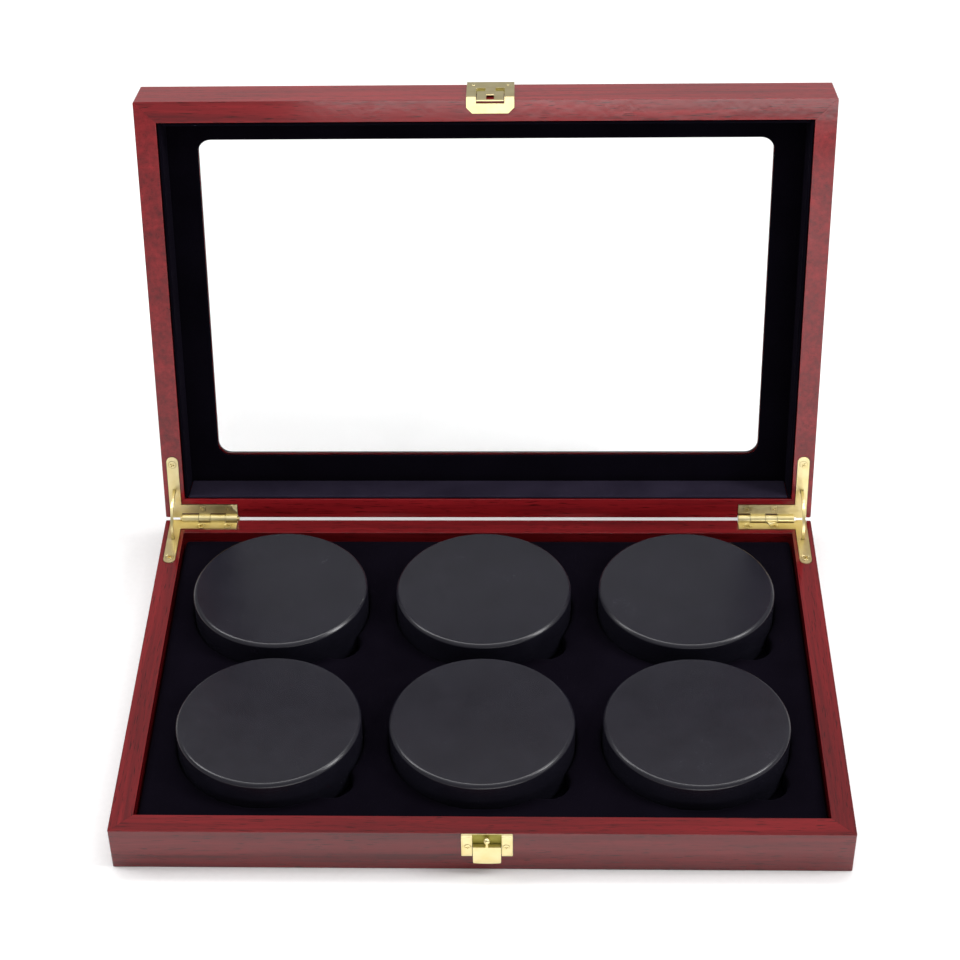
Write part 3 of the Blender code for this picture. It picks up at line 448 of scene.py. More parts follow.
# Black lacquer: brushed onto the sawn edge round the pane. Dark and half glossy.
def brushedLacquer(name):
    material, tree, shader, place = newMaterial(name)
    strokes = addNode(tree, "TexNoise", {}, {"Vector": place, "Scale": 500, "Detail": 2})
    tone = addNode(tree, "ValToRGB", {}, {"Fac": strokes.outputs["Fac"]}, [(0.3, "#0B090D"), (0.7, "#141118")])
    feed(tree, shader, {"Base Color": tone.outputs["Color"], "Roughness": 0.35, "Specular IOR Level": 0.3})
    return material


mahoganyAlongX = lacqueredMahogany("lacquered mahogany, grain along X")
mahoganyAlongY = lacqueredMahogany("lacquered mahogany, grain along Y", (0, 0, math.radians(90)))
# the lid's two copies are made 1.6 times lighter, which is painted light and reflection on the lid's wood
litMahoganyUpLid = lacqueredMahogany("lacquered mahogany, grain up the lid, painted lighter", (0, math.radians(90), openAngle), 1.6)
litMahoganyAcrossLid = lacqueredMahogany("lacquered mahogany, grain across the lid, painted lighter", (0, 0, 0), 1.6)
velvetCloth = blackVelvet("black velvet", velvet["colour"], velvet["brushed"])
# a lighter copy for the back lining, which faces up: painted sheen and light
sheenLitVelvet = blackVelvet("black velvet, painted lighter as sheen", velvet["paintedSheen"], velvet["paintedSheenBrushed"])
basaltStone = honedBasalt("honed basalt")
blackEdge = brushedLacquer("black lacquer on the window's edge")
brassPlate = polishedBrass("polished brass", brass["colour"], brass["deep"], 0.26, 0.38)
# this copy is rougher, and its darker olive colour is painted shade for the recessed faces
shadedBrass = polishedBrass("brass in the hollows, rougher, painted darker as shade", brass["shadedColour"], brass["shadedDeep"], 0.5, 0.6)
steelWire = springSteel("spring steel")
windowGlass = clearGlass("clear float glass")
feltSheet = blackFelt("black wool felt")
fibreBoard = pressedBoard("hardboard")
print("materials made")


# Hinges: the leaves, and the hollows that they need in the wood

leaves = {
    "outerX": case["width"] / 2 - 0.00225,
    "armWidth": 0.0055,
    "armLength": 0.032,
    "backArmLength": 0.03225,
    "backArmDepth": 0.0068,
    "thickness": 0.0012,
    "proud": 0.0003,
    "knuckleRadius": 0.0022,
    "knuckles": (0.0057, 0.0073, 0.0055, 0.0080),
    "pinBore": 0.001,
    "turningGap": 0.00035,
    "reliefGap": 0.0006,
    "fitGap": 0.0002,
    "woodGap": 0.0003,
    "edge": 0.00012,
    "innerScrew": 0.0043,      # from the barrel's inner end
    "outerScrew": 0.0170,
    "backScrewDepth": 0.0048,  # from the case's back
    "sideScrewDepth": 0.028,
}
stay = {"radius": 0.0145, "width": 0.0014, "thickness": 0.0012, "headWidth": 0.003, "headLength": 0.001, "edge": 0.00018,
        "stepAngle": 0.04}
screw = {"radius": 0.00175, "crown": 0.00012, "shank": 0.0008, "tip": 0.0003, "length": 0.007, "headDepth": 0.00095,
         "slotLength": 0.0022, "slotWidth": 0.0005, "slotDepth": 0.0006, "edge": 0.00009}

armX = leaves["outerX"] - leaves["armWidth"] / 2
barrelInnerX = leaves["outerX"] - leaves["backArmLength"]
barrelOuterX = barrelInnerX + sum(leaves["knuckles"])
armEndY = backY - leaves["armLength"] + leaves["armWidth"] / 2
screwSpots = {
    "inner": (barrelInnerX + leaves["innerScrew"], backY - leaves["backScrewDepth"]),
    "outer": (barrelInnerX + leaves["outerScrew"], backY - leaves["backScrewDepth"]),
    "side": (armX, backY - leaves["sideScrewDepth"]),
}


def leafBlocks(name, side, grow, lowZ, highZ, pastBack):
    # the L of a leaf as one body, spread by grow
    inner, outer = barrelInnerX - grow, leaves["outerX"] + grow
    armInner = leaves["outerX"] - leaves["armWidth"] - grow
    backEdge = hingeAxis.y + pastBack
    xs = sorted((side * inner, side * outer))
    plate = addBlock(name, (xs[0], backY - leaves["backArmDepth"] - grow, lowZ), (xs[1], backEdge, highZ))
    if not pastBack:
        xs = sorted((side * barrelOuterX, side * (outer + cutPast)))
        cutWith(plate, addBlock("corner", (xs[0], backY, lowZ - cutPast), (xs[1], backEdge + cutPast, highZ + cutPast)))
    xs = sorted((side * armInner, side * outer))
    joinWith(plate, addBlock("arm", (xs[0], armEndY, lowZ), (xs[1], backY - 0.001, highZ)))
    joinWith(plate, addRod("armEnd", (side * armX, armEndY, lowZ), (side * armX, armEndY, highZ),
                           leaves["armWidth"] / 2 + grow, 48))
    return plate


def knuckleSpans(mine):
    spans, start = [], barrelInnerX
    for index, length in enumerate(leaves["knuckles"]):
        if index % 2 == mine:
            spans.append((start, start + length))
        start += length
    return spans


def barrelRod(name, side, start, end, radius, sides=32):
    y, z = hingeAxis.y, hingeAxis.z
    return addRod(name, (side * start, y, z), (side * end, y, z), radius, sides)


def leafDepths(up):
    # heights of a leaf's outer and inner faces; up is -1 in the base and 1 in the lid
    near = hingeAxis.z + up * (case["closedGap"] / 2 - leaves["proud"])
    return near, near + up * leaves["thickness"]


def stayHalfSpan():
    depth = case["closedGap"] / 2 - leaves["proud"] + leaves["thickness"] + leaves["woodGap"]
    below = math.asin(depth / (stay["radius"] - stay["headWidth"] / 2))
    return openAngle / 2 + below + stay["headLength"] / stay["radius"]


def cutHingeSeats(rail, side, up):
    near, far = leafDepths(up)
    past = hingeAxis.z - up * 2 * cutPast
    lowZ, highZ = sorted((far + up * leaves["fitGap"], past))
    cutWith(rail, leafBlocks("seat", side, leaves["fitGap"], lowZ, highZ, 2 * cutPast))
    cutWith(rail, barrelRod("cove", side, barrelInnerX - leaves["fitGap"], barrelOuterX + leaves["fitGap"],
                            leaves["knuckleRadius"] + leaves["turningGap"]))
    halfX = stay["thickness"] / 2 + leaves["woodGap"]
    outer = stay["radius"] + stay["headWidth"] / 2 + leaves["woodGap"]
    inner = stay["radius"] - stay["headWidth"] / 2 - leaves["woodGap"]
    swing = stayHalfSpan() + leaves["woodGap"] / stay["radius"]
    lowZ, highZ = sorted((past, hingeAxis.z + up * outer * math.sin(swing)))
    cutWith(rail, addBlock("mortise", (side * armX - halfX, hingeAxis.y - outer, lowZ),
                           (side * armX + halfX, hingeAxis.y - inner * math.cos(swing), highZ)))
    gap = leaves["fitGap"]
    for x, y in screwSpots.values():
        pilotEnd = near + up * (screw["length"] + gap)
        cutWith(rail, addRod("pilot", (side * x, y, past), (side * x, y, pilotEnd), screw["shank"] + gap, 20))


# Rails: the four mitred sides of the base and of the lid

def addRing(name, lowZ, highZ, rebateLow, rebateHigh):
    halfX, halfY = case["width"] / 2, case["depth"] / 2
    ring = addBlock(name, (-halfX, -halfY, lowZ), (halfX, halfY, highZ))
    roundEdges(ring, upright, case["cornerRounding"], 5)
    cutWith(ring, addBlock("opening", (-innerX, -innerY, lowZ - 0.01), (innerX, innerY, highZ + 0.01)))
    stepX, stepY = innerX + case["rebate"], innerY + case["rebate"]
    cutWith(ring, addBlock("rebate", (-stepX, -stepY, rebateLow), (stepX, stepY, rebateHigh)))
    softenEdges(ring, case["edgeRounding"], 3)
    return ring


def addRails(ring, body, up, crossMaterial, sideMaterial):
    halfX, halfY, gap = case["width"] / 2, case["depth"] / 2, case["mitreGap"]
    corners = {"front": ((-1, -1), (1, -1)), "back": ((1, 1), (-1, 1)),
               "left": ((-1, 1), (-1, -1)), "right": ((1, -1), (1, 1))}
    inwards = {"front": (0, 1), "back": (0, -1), "left": (1, 0), "right": (-1, 0)}
    for side, ends in corners.items():
        rail = copyOf(ring, body + side.capitalize() + "Rail")
        into = Vector((*inwards[side], 0))
        for cornerX, cornerY in ends:
            corner = Vector((cornerX * halfX, cornerY * halfY, 0))
            along = Vector((-cornerX, 0, 0)) if side in ("front", "back") else Vector((0, -cornerY, 0))
            normal = (along - into).normalized()
            keepSide(rail, corner + normal * gap, normal)
        for hingeSide in (-1, 1):
            if side == "back" or side == ("left" if hingeSide < 0 else "right"):
                cutHingeSeats(rail, hingeSide, up)
        if side == "front":
            cutFrontSeats(rail, body)
        finishPiece(rail, body, sideMaterial if side in ("left", "right") else crossMaterial,
                    [body + "_" + side + "_rail"])
    bpy.data.objects.remove(ring)


# Latch on the base and catch on the lid

latch = {
    "x": 0.0028,
    "width": 0.0214,
    "height": 0.0115,
    "proud": 0.0021,
    "web": 0.0004,
    "channel": 0.0122,
    "rounding": 0.0004,
    "screwSpacing": 0.0160,
    "screwDrop": 0.006,
    "screwRadius": 0.0014,
    "screwShank": 0.00065,
    "screwLength": 0.006,
    "screwTip": 0.0003,
    "screwCrown": 0.00012,
    "headDepth": 0.0006,
    "headSeat": 0.0008,
    "headGap": 0.00015,
    "slotLength": 0.0018,
    "slotWidth": 0.0004,
    "slotDepth": 0.0003,
    "border": 0.0003,          # from the edge to the pressed line round each cheek
    "lineWidth": 0.0001,
    "lineDepth": 0.00012,
}
catch = {
    "width": 0.021,
    "height": 0.0222,
    "thickness": 0.0013,
    "rimDepth": 0.006,
    "rimThickness": 0.0008,
    "rimProud": 0.0003,
    "cornerCut": 0.0026,
    "windowWidth": 0.0124,
    "windowTop": 0.013,
    "windowRimDepth": 0.0015,
    "webHeight": 0.009,
    "web": 0.0003,
    "tongueWidth": 0.0118,
    "tongueThickness": 0.0006,
    "tongueTop": 0.0083,
    "tongueReach": 0.0049,
    "neckWidth": 0.0045,
    "holeWidth": 0.0034,
    "holeTop": 0.0035,
    "endBar": 0.001,
    "pinSpacing": 0.0152,
    "pinHeight": 0.0178,
    "pinRadius": 0.0009,
    "pinLength": 0.006,
    "pinTip": 0.00055,
    "pinCrown": 0.00012,
    "pinEdge": 0.0002,
    "pinGap": 0.0001,
    "edge": 0.00028,
    "tongueEdge": 0.0001,
    "neckReach": 0.0007,
}
catchFrontY = frontY - leaves["fitGap"] - catch["thickness"]


def cutFrontSeats(rail, body):
    gap = leaves["fitGap"]
    if body == "base":
        for side in (-1, 1):
            x, z = latch["x"] + side * latch["screwSpacing"] / 2, rimZ - latch["screwDrop"]
            cutWith(rail, addRod("hole", (x, frontY - 2 * cutPast, z), (x, frontY + latch["screwLength"] + gap, z),
                                 latch["screwShank"] + gap, 20))
        return
    seatTop = lidRimZ - catch["rimProud"] + catch["rimThickness"] + gap
    cutWith(rail, catchRim("seat", gap, lidRimZ - 2 * cutPast, seatTop))
    for side in (-1, 1):
        x, z = latch["x"] + side * catch["pinSpacing"] / 2, lidRimZ + catch["pinHeight"]
        cutWith(rail, addRod("hole", (x, frontY - 2 * cutPast, z), (x, frontY + catch["pinLength"] + gap, z),
                             catch["pinRadius"] + gap, 20))


def catchRim(name, grow, lowZ, highZ):
    # the leaf under the rim, with its two inner corners cut off
    half, inner = catch["width"] / 2 + grow, frontY + catch["rimDepth"] + grow
    rim = addBlock(name, (latch["x"] - half, catchFrontY - grow, lowZ), (latch["x"] + half, inner, highZ))
    for side in (-1, 1):
        corner = Vector((latch["x"] + side * half, inner - catch["cornerCut"], 0))
        keepSide(rim, corner, Vector((-side, -1, 0)).normalized())
    return rim


baseRing = addRing("baseRing", 0, rimZ, -0.01, case["bottomRebate"])
addRails(baseRing, "base", -1, mahoganyAlongX, mahoganyAlongY)
print("base rails made")
topPanelZ = lidTopZ - case["topPanel"]
lidRing = addRing("lidRing", lidRimZ, lidTopZ, topPanelZ - leaves["woodGap"], lidTopZ + 0.01)
addRails(lidRing, "lid", 1, litMahoganyAcrossLid, litMahoganyUpLid)
print("lid rails made")


def addLeaf(name, side, up, mine, body, node):
    near, far = leafDepths(up)
    lowZ, highZ = sorted((near, far))
    leaf = leafBlocks(name, side, 0, lowZ, highZ, 0)
    gap = leaves["fitGap"]
    sinkTop, sinkTip = cutPast / 2, screw["shank"] / 2
    for x, y in screwSpots.values():
        x, radius = side * x, screw["radius"] + gap
        cutWith(leaf, addRod("hole", (x, y, near - up * cutPast), (x, y, far + up * cutPast), screw["shank"] + gap, 24))
        cutWith(leaf, addRod("sink", (x, y, near - up * sinkTop), (x, y, near + up * (radius - sinkTip)),
                             radius + sinkTop, 32, sinkTip))
    reliefRadius = leaves["knuckleRadius"] + leaves["reliefGap"]
    for start, end in knuckleSpans(1 - mine):
        cutWith(leaf, barrelRod("relief", side, start - gap / 2, end + gap / 2, reliefRadius))
    for start, end in knuckleSpans(mine):
        joinWith(leaf, barrelRod("knuckle", side, start + gap / 2, end - gap / 2, leaves["knuckleRadius"], 40))
    halfX, halfY = stay["thickness"] / 2 + gap, stay["width"] / 2 + gap
    slotY = hingeAxis.y - stay["radius"]
    cutWith(leaf, addBlock("slot", (side * armX - halfX, slotY - halfY, lowZ - cutPast),
                           (side * armX + halfX, slotY + halfY, highZ + cutPast)))
    softenEdges(leaf, leaves["edge"], 2)
    cutWith(leaf, barrelRod("bore", side, barrelInnerX - cutPast, barrelOuterX + cutPast, leaves["pinBore"]))
    finishPiece(leaf, body, brassPlate, [node])


def addStay(name, side, node):
    # a bar of rounded section, spun about the hinge's axis from one head to the other
    half, head = stayHalfSpan(), stay["headLength"] / stay["radius"]
    centre = Vector((side * armX, hingeAxis.y, hingeAxis.z))
    sections = ((-half + head, half - head, stay["width"]), (-half, -half + head, stay["headWidth"]),
                (half - head, half, stay["headWidth"]))
    bars = []
    for start, end, width in sections:
        deselectAll()
        bpy.ops.mesh.primitive_plane_add(size=1, location=(centre.x, centre.y - stay["radius"], centre.z))
        bar = bpy.context.object
        bar.scale = (stay["thickness"], width, 1)
        setPlace(bar)
        bar.rotation_euler = (-start, 0, 0)
        bar.location = centre - Matrix.Rotation(-start, 3, "X") @ centre
        setPlace(bar)
        bpy.ops.object.mode_set(mode="EDIT")
        bpy.ops.mesh.select_all(action="SELECT")
        steps = max(2, round((end - start) / stay["stepAngle"]))
        bpy.ops.mesh.spin(steps=steps, angle=end - start, center=centre, axis=(1, 0, 0))
        bpy.ops.mesh.select_all(action="SELECT")
        bpy.ops.mesh.remove_doubles(threshold=0.000001)
        bpy.ops.mesh.normals_make_consistent(inside=False)
        bpy.ops.object.mode_set(mode="OBJECT")
        bars.append(bar)
    piece = bars[0]
    piece.name = name
    joinWith(piece, bars[1])
    joinWith(piece, bars[2])
    softenEdges(piece, stay["edge"], 2, 50)
    piece.rotation_euler = (-openAngle / 2, 0, 0)
    piece.location = centre - Matrix.Rotation(-openAngle / 2, 3, "X") @ centre
    setPlace(piece)
    finishPiece(piece, "stay_" + ("left" if side < 0 else "right"), brassPlate, [node])


def addScrew(name, body, place, facing, turn, node):
    piece = copyOf(screwModel, name)
    piece.rotation_euler = (0 if facing > 0 else math.pi, 0, turn)
    piece.location = place
    setPlace(piece)
    finishPiece(piece, body, brassPlate, [node])


# one countersunk screw with a cross recess, head up, with its seat at the origin
screwModel = addRod("screwModel", (0, 0, -screw["headDepth"]), (0, 0, 0), screw["shank"], 48, screw["radius"])
joinWith(screwModel, addRod("shank", (0, 0, -screw["length"]), (0, 0, 0.00005 - screw["headDepth"]), screw["tip"], 24,
                            screw["shank"]))
chooseFaces(screwModel, lambda centre, normal: centre.z > -0.00001)
bpy.ops.mesh.extrude_region_move(TRANSFORM_OT_translate={"value": (0, 0, screw["crown"])})
bpy.ops.object.mode_set(mode="OBJECT")
roundEdges(screwModel, lambda start, end: min(start.z, end.z) > screw["crown"] / 2, screw["edge"], 2)
slotSizes = (screw["slotLength"] / 2, screw["slotWidth"] / 2)
for slotX, slotY in (slotSizes, slotSizes[::-1]):
    cutWith(screwModel, addBlock("recess", (-slotX, -slotY, -screw["slotDepth"]), (slotX, slotY, cutPast)))

# how far each screw was driven round, in radians
turns = iter([0.3, 1.1, 0.7, 0.2, 0.9, 0.5, 1.3, 0.1, 0.8, 0.4, 1.0, 0.6])
for sideName, side in (("left", -1), ("right", 1)):
    sideTitle = sideName.capitalize()
    baseKnuckles = 0 if side > 0 else 1
    addLeaf("hinge" + sideTitle + "BaseLeaf", side, -1, baseKnuckles, "base", f"hinge_{sideName}_base_leaf")
    addLeaf("hinge" + sideTitle + "LidLeaf", side, 1, 1 - baseKnuckles, "lid", f"hinge_{sideName}_lid_leaf")
    addStay("hinge" + sideTitle + "Stay", side, f"hinge_{sideName}_stay")
    for body, up in (("base", -1), ("lid", 1)):
        for spotName, (x, y) in screwSpots.items():
            addScrew("hinge" + sideTitle + body.capitalize() + "Screw" + spotName.capitalize(), body,
                     (side * x, y, leafDepths(up)[0]), -up, next(turns),
                     f"hinge_{sideName}_{body}_screw_{spotName}")
bpy.data.objects.remove(screwModel)
print("hinges made")


# Latch housing, lever and screws

def addHousing():
    half, back, front = latch["width"] / 2, frontY - leaves["fitGap"], frontY - latch["proud"]
    low = rimZ - latch["height"]
    housing = addBlock("latchHousing", (latch["x"] - half, front, low), (latch["x"] + half, back, rimZ))
    roundEdges(housing, lambda start, end: min(start.y, end.y) < front + 0.0001, latch["rounding"], 3)
    half = latch["channel"] / 2
    cutWith(housing, addBlock("channel", (latch["x"] - half, front - cutPast, low - cutPast),
                              (latch["x"] + half, back - latch["web"], rimZ + cutPast)))
    chooseFaces(housing, lambda centre, normal: normal.y < -0.99 and centre.y < front + 0.0001)
    bpy.ops.mesh.inset(thickness=latch["border"], depth=0)
    bpy.ops.mesh.inset(thickness=latch["lineWidth"], depth=-latch["lineDepth"])
    bpy.ops.object.mode_set(mode="OBJECT")
    for side in (-1, 1):
        x, z = latch["x"] + side * latch["screwSpacing"] / 2, rimZ - latch["screwDrop"]
        cutWith(housing, addRod("seat", (x, front - cutPast, z), (x, front + latch["headSeat"], z),
                                latch["screwRadius"] + latch["headGap"], 40))
        cutWith(housing, addRod("hole", (x, front - cutPast, z), (x, back + cutPast, z),
                                latch["screwShank"] + leaves["fitGap"], 24))
    # the web's front face at the back of the channel gets the darker brass: painted shade in the recess
    paintPart(housing, brassPlate, shadedBrass, lambda centre, normal: normal.y < -0.9 and centre.y > front + 0.001)
    finishPiece(housing, "base", brassPlate, ["latch_housing"])


def addLatchScrew(side, node):
    x, z, head = latch["x"] + side * latch["screwSpacing"] / 2, rimZ - latch["screwDrop"], frontY - latch["proud"]
    piece = addRod("latchScrew" + ("Left" if side < 0 else "Right"), (x, head + latch["headDepth"], z),
                   (x, head - latch["screwCrown"], z), latch["screwRadius"], 40)
    softenEdges(piece, latch["screwCrown"], 2)
    joinWith(piece, addRod("shank", (x, frontY + latch["screwLength"], z), (x, head + latch["headDepth"] - 0.0001, z),
                           latch["screwTip"], 24, latch["screwShank"]))
    slotSizes = (latch["slotLength"] / 2, latch["slotWidth"] / 2)
    for width, height in (slotSizes, slotSizes[::-1]):
        cutWith(piece, addBlock("recess", (x - width, head - cutPast, z - height),
                                (x + width, head + latch["slotDepth"], z + height)))
    finishPiece(piece, "base", brassPlate, [node])


lever = {
    "topDrop": 0.0054,
    "bottomDrop": 0.0153,
    "sideGap": 0.0003,
    "thickness": 0.0007,
    "backOffset": 0.0022,
    "roofThickness": 0.0003,
    "roofBack": 0.0009,
    "stemRadius": 0.00055,
    "knobRadius": 0.0014,
    "knobDrop": 0.0018,
    "nubDrop": 0.0019,
    "nubReach": 0.00095,
    "pivotOffset": 0.0015,
    "pivotDrop": 0.0069,
    "earRadius": 0.0008,
    "earLength": 0.0019,
    "bowRadius": 0.05,
    "bowDrop": 0.0003,         # from the bow's lowest point to the blank's lower edge
    "cornerRounding": 0.0009,
    "nubRadius": 0.0008,
    "nubTip": 0.00055,
    "pinBore": 0.0004,
    "edge": 0.00012,
}


def addLever():
    back = frontY - lever["backOffset"]
    front = back - lever["thickness"]
    half = latch["channel"] / 2 - lever["sideGap"]
    top, bottom, x = rimZ - lever["topDrop"], rimZ - lever["bottomDrop"], latch["x"]
    piece = addBlock("latchLever", (x - half, front, bottom), (x + half, back, top))
    bowZ = bottom + lever["bowRadius"] + lever["bowDrop"]
    bow = addRod("bow", (x, front - cutPast, bowZ), (x, back + cutPast, bowZ), lever["bowRadius"], 400)
    cutWith(piece, bow, "INTERSECT")
    roundEdges(piece, lambda start, end: abs(start.y - end.y) > 0.0005 and max(start.z, end.z) < bottom + 0.001
               and min(abs(start.x - x), abs(end.x - x)) > half - 0.0001, lever["cornerRounding"], 4)
    joinWith(piece, addBlock("roof", (x - half, back - 0.0003, top - lever["roofThickness"]),
                             (x + half, frontY - lever["roofBack"], top)))
    middle = (front + back) / 2
    knobZ = rimZ - lever["knobDrop"]
    joinWith(piece, addRod("stem", (x, middle, top - 0.0005), (x, middle, knobZ), lever["stemRadius"], 24))
    joinWith(piece, addBall("knob", (x, middle, knobZ), lever["knobRadius"]))
    nubZ = rimZ - lever["nubDrop"]
    joinWith(piece, addRod("nub", (x, back - lever["thickness"] / 2, nubZ), (x, back + lever["nubReach"], nubZ),
                           lever["nubRadius"], 32, lever["nubTip"]))
    pivotY, pivotZ = frontY - lever["pivotOffset"], rimZ - lever["pivotDrop"]
    for start, end in ((-half, lever["earLength"] - half), (half - lever["earLength"], half)):
        joinWith(piece, addRod("ear", (x + start, pivotY, pivotZ), (x + end, pivotY, pivotZ), lever["earRadius"], 32))
    softenEdges(piece, lever["edge"], 2)
    cutWith(piece, addRod("bore", (x - half - cutPast, pivotY, pivotZ), (x + half + cutPast, pivotY, pivotZ),
                          lever["pinBore"], 24))
    finishPiece(piece, "latch_lever", brassPlate, ["latch_lever"])


def addCatch():
    half, back, low, x = catch["width"] / 2, frontY - leaves["fitGap"], lidRimZ - catch["rimProud"], latch["x"]
    piece = addBlock("catchPlate", (x - half, catchFrontY, low), (x + half, back, lidRimZ + catch["height"]))
    joinWith(piece, catchRim("rim", 0, low, low + catch["rimThickness"]))
    half = catch["windowWidth"] / 2
    cutWith(piece, addBlock("window", (x - half, catchFrontY - cutPast, low - cutPast),
                            (x + half, frontY + catch["windowRimDepth"], lidRimZ + catch["webHeight"])))
    cutWith(piece, addBlock("window", (x - half, catchFrontY - cutPast, lidRimZ),
                            (x + half, back - catch["web"], lidRimZ + catch["windowTop"])))
    softenEdges(piece, catch["edge"], 3)
    # the web's front face inside the window gets the darker brass: painted shade in the recess
    paintPart(piece, brassPlate, shadedBrass,
              lambda centre, normal: normal.y < -0.9 and centre.y > back - catch["web"] - 0.0001)
    tongueBack, half = catchFrontY + catch["tongueThickness"], catch["tongueWidth"] / 2
    tongueEnd, tongueTop = lidRimZ - catch["tongueReach"], lidRimZ + catch["tongueTop"]
    tongue = addBlock("tongue", (x - half, catchFrontY, tongueEnd), (x + half, tongueBack, tongueTop))
    half = catch["neckWidth"] / 2
    joinWith(tongue, addBlock("neck", (x - half, catchFrontY, tongueTop - cutPast),
                              (x + half, tongueBack, lidRimZ + catch["windowTop"] + catch["neckReach"])))
    half = catch["holeWidth"] / 2
    cutWith(tongue, addBlock("hole", (x - half, catchFrontY - cutPast, tongueEnd + catch["endBar"]),
                             (x + half, tongueBack + cutPast, lidRimZ + catch["holeTop"])))
    softenEdges(tongue, catch["tongueEdge"], 2)
    joinWith(piece, tongue)
    for side in (-1, 1):
        pinX, z = x + side * catch["pinSpacing"] / 2, lidRimZ + catch["pinHeight"]
        cutWith(piece, addRod("hole", (pinX, catchFrontY - cutPast, z), (pinX, back + cutPast, z),
                              catch["pinRadius"] + catch["pinGap"], 32))
        pin = addRod("catchPin" + ("Left" if side < 0 else "Right"), (pinX, frontY + catch["pinLength"], z),
                     (pinX, catchFrontY - catch["pinCrown"], z), catch["pinTip"], 32, catch["pinRadius"])
        softenEdges(pin, catch["pinEdge"], 3)
        finishPiece(pin, "lid", brassPlate, ["catch_pin_" + ("left" if side < 0 else "right")])
    finishPiece(piece, "lid", brassPlate, ["catch_plate"])


addHousing()
addLatchScrew(-1, "latch_screw_left")
addLatchScrew(1, "latch_screw_right")
addLever()
addCatch()
print("latch and catch made")


# Stones

stones = {"radius": 0.0399, "thickness": 0.0214, "chamfer": 0.0012, "edge": 0.0005, "faceBorder": 0.0004,
          "pitchX": 0.0916, "pitchY": 0.0867, "leftShift": 0.0019, "middleShift": 0.0006, "sides": 160}
pocketFloorZ = 0.0079


def addStoneModel():
    model = addRod("stoneModel", (0, 0, 0), (0, 0, stones["thickness"]), stones["radius"], stones["sides"])
    level = lambda start, end: abs(start.z - end.z) < 0.00001
    roundEdges(model, level, stones["chamfer"], 1)
    roundEdges(model, level, stones["edge"], 4)
    chooseFaces(model, lambda centre, normal: abs(normal.z) > 0.999)
    bpy.ops.mesh.inset(thickness=stones["faceBorder"], depth=0)
    bpy.ops.object.mode_set(mode="OBJECT")
    return model


stoneModel = addStoneModel()
stonePlaces = {}
for row, y in (("front", -stones["pitchY"] / 2), ("back", stones["pitchY"] / 2)):
    for column, x in (("left", -stones["pitchX"]), ("middle", 0), ("right", stones["pitchX"])):
        if row == "back":
            x -= {"left": stones["leftShift"], "middle": stones["middleShift"], "right": 0}[column]
        stonePlaces[row, column] = (x, y)
        stone = copyOf(stoneModel, "stone" + row.capitalize() + column.capitalize())
        stone.location = (x, y, pocketFloorZ)
        setPlace(stone)
        finishPiece(stone, f"stone_{row}_{column}", basaltStone, [f"stone_{row}_{column}"])
bpy.data.objects.remove(stoneModel)
print("stones made")


# Velvet tray that holds the stones

tray = {"sideGap": 0.0008, "height": 0.0094, "pocketClearance": 0.0006, "notchRadius": 0.0095, "notchX": 0.0279,
        "notchY": -0.0248, "voxel": 0.0012, "smoothing": 6}


def addTray():
    halfX, halfY = innerX - tray["sideGap"], innerY - tray["sideGap"]
    top = pocketFloorZ + tray["height"]
    piece = addBlock("velvetTray", (-halfX, -halfY, pocketFloorZ), (halfX, halfY, top))
    lowZ, highZ = pocketFloorZ - 5 * cutPast, top + 5 * cutPast
    pocketRadius = stones["radius"] + tray["pocketClearance"]
    for x, y in stonePlaces.values():
        cutWith(piece, addRod("pocket", (x, y, lowZ), (x, y, highZ), pocketRadius, 128))
        notch = (x + tray["notchX"], y + tray["notchY"])
        cutWith(piece, addRod("notch", (*notch, lowZ), (*notch, highZ), tray["notchRadius"], 64))
    pick(piece)
    cloth = piece.modifiers.new("cloth", "REMESH")
    cloth.mode = "VOXEL"
    cloth.voxel_size = tray["voxel"]
    bpy.ops.object.modifier_apply(modifier=cloth.name)
    relax = piece.modifiers.new("relax", "SMOOTH")
    relax.iterations = tray["smoothing"]
    relax.factor = 0.5
    bpy.ops.object.modifier_apply(modifier=relax.name)
    finishPiece(piece, "base", velvetCloth, ["insert_block"], 60)


addTray()


# Pocket floor and felt under the case

under = {"felt": 0.001, "feltCorner": 0.001, "feltEdge": 0.0004, "floorThickness": 0.003, "floorEdge": 0.0008}


def addPocketFloor():
    halfX, halfY = innerX - tray["sideGap"], innerY - tray["sideGap"]
    top = pocketFloorZ - leaves["woodGap"]
    floorCard = addBlock("pocketFloor", (-halfX, -halfY, top - under["floorThickness"]), (halfX, halfY, top))
    softenEdges(floorCard, under["floorEdge"], 4)
    finishPiece(floorCard, "base", velvetCloth, ["insert_floor"])


def addFelt():
    halfX, halfY = (inner + case["rebate"] - leaves["woodGap"] for inner in (innerX, innerY))
    felt = addBlock("feltSheet", (-halfX, -halfY, 0), (halfX, halfY, under["felt"]))
    roundEdges(felt, upright, under["feltCorner"], 4)
    softenEdges(felt, under["feltEdge"], 3)
    finishPiece(felt, "base", feltSheet, ["base_felt"])


addPocketFloor()
addFelt()
print("floor and felt made")


# Lid filling

lidFill = {"windowWidth": 0.2585, "windowDepth": 0.1566, "windowFromBack": 0.0244, "windowRadius": 0.006,
           "glass": 0.0018, "overlap": 0.005, "velvet": 0.0015, "lining": 0.0014, "edge": 0.0005, "liningEdge": 0.0006,
           "liningInset": 0.0004}


def windowBlock(name, grow, lowZ, highZ):
    halfX, back = lidFill["windowWidth"] / 2 + grow, backY - lidFill["windowFromBack"] + grow
    block = addBlock(name, (-halfX, back - lidFill["windowDepth"] - 2 * grow, lowZ), (halfX, back, highZ))
    roundEdges(block, upright, lidFill["windowRadius"], 8)
    return block


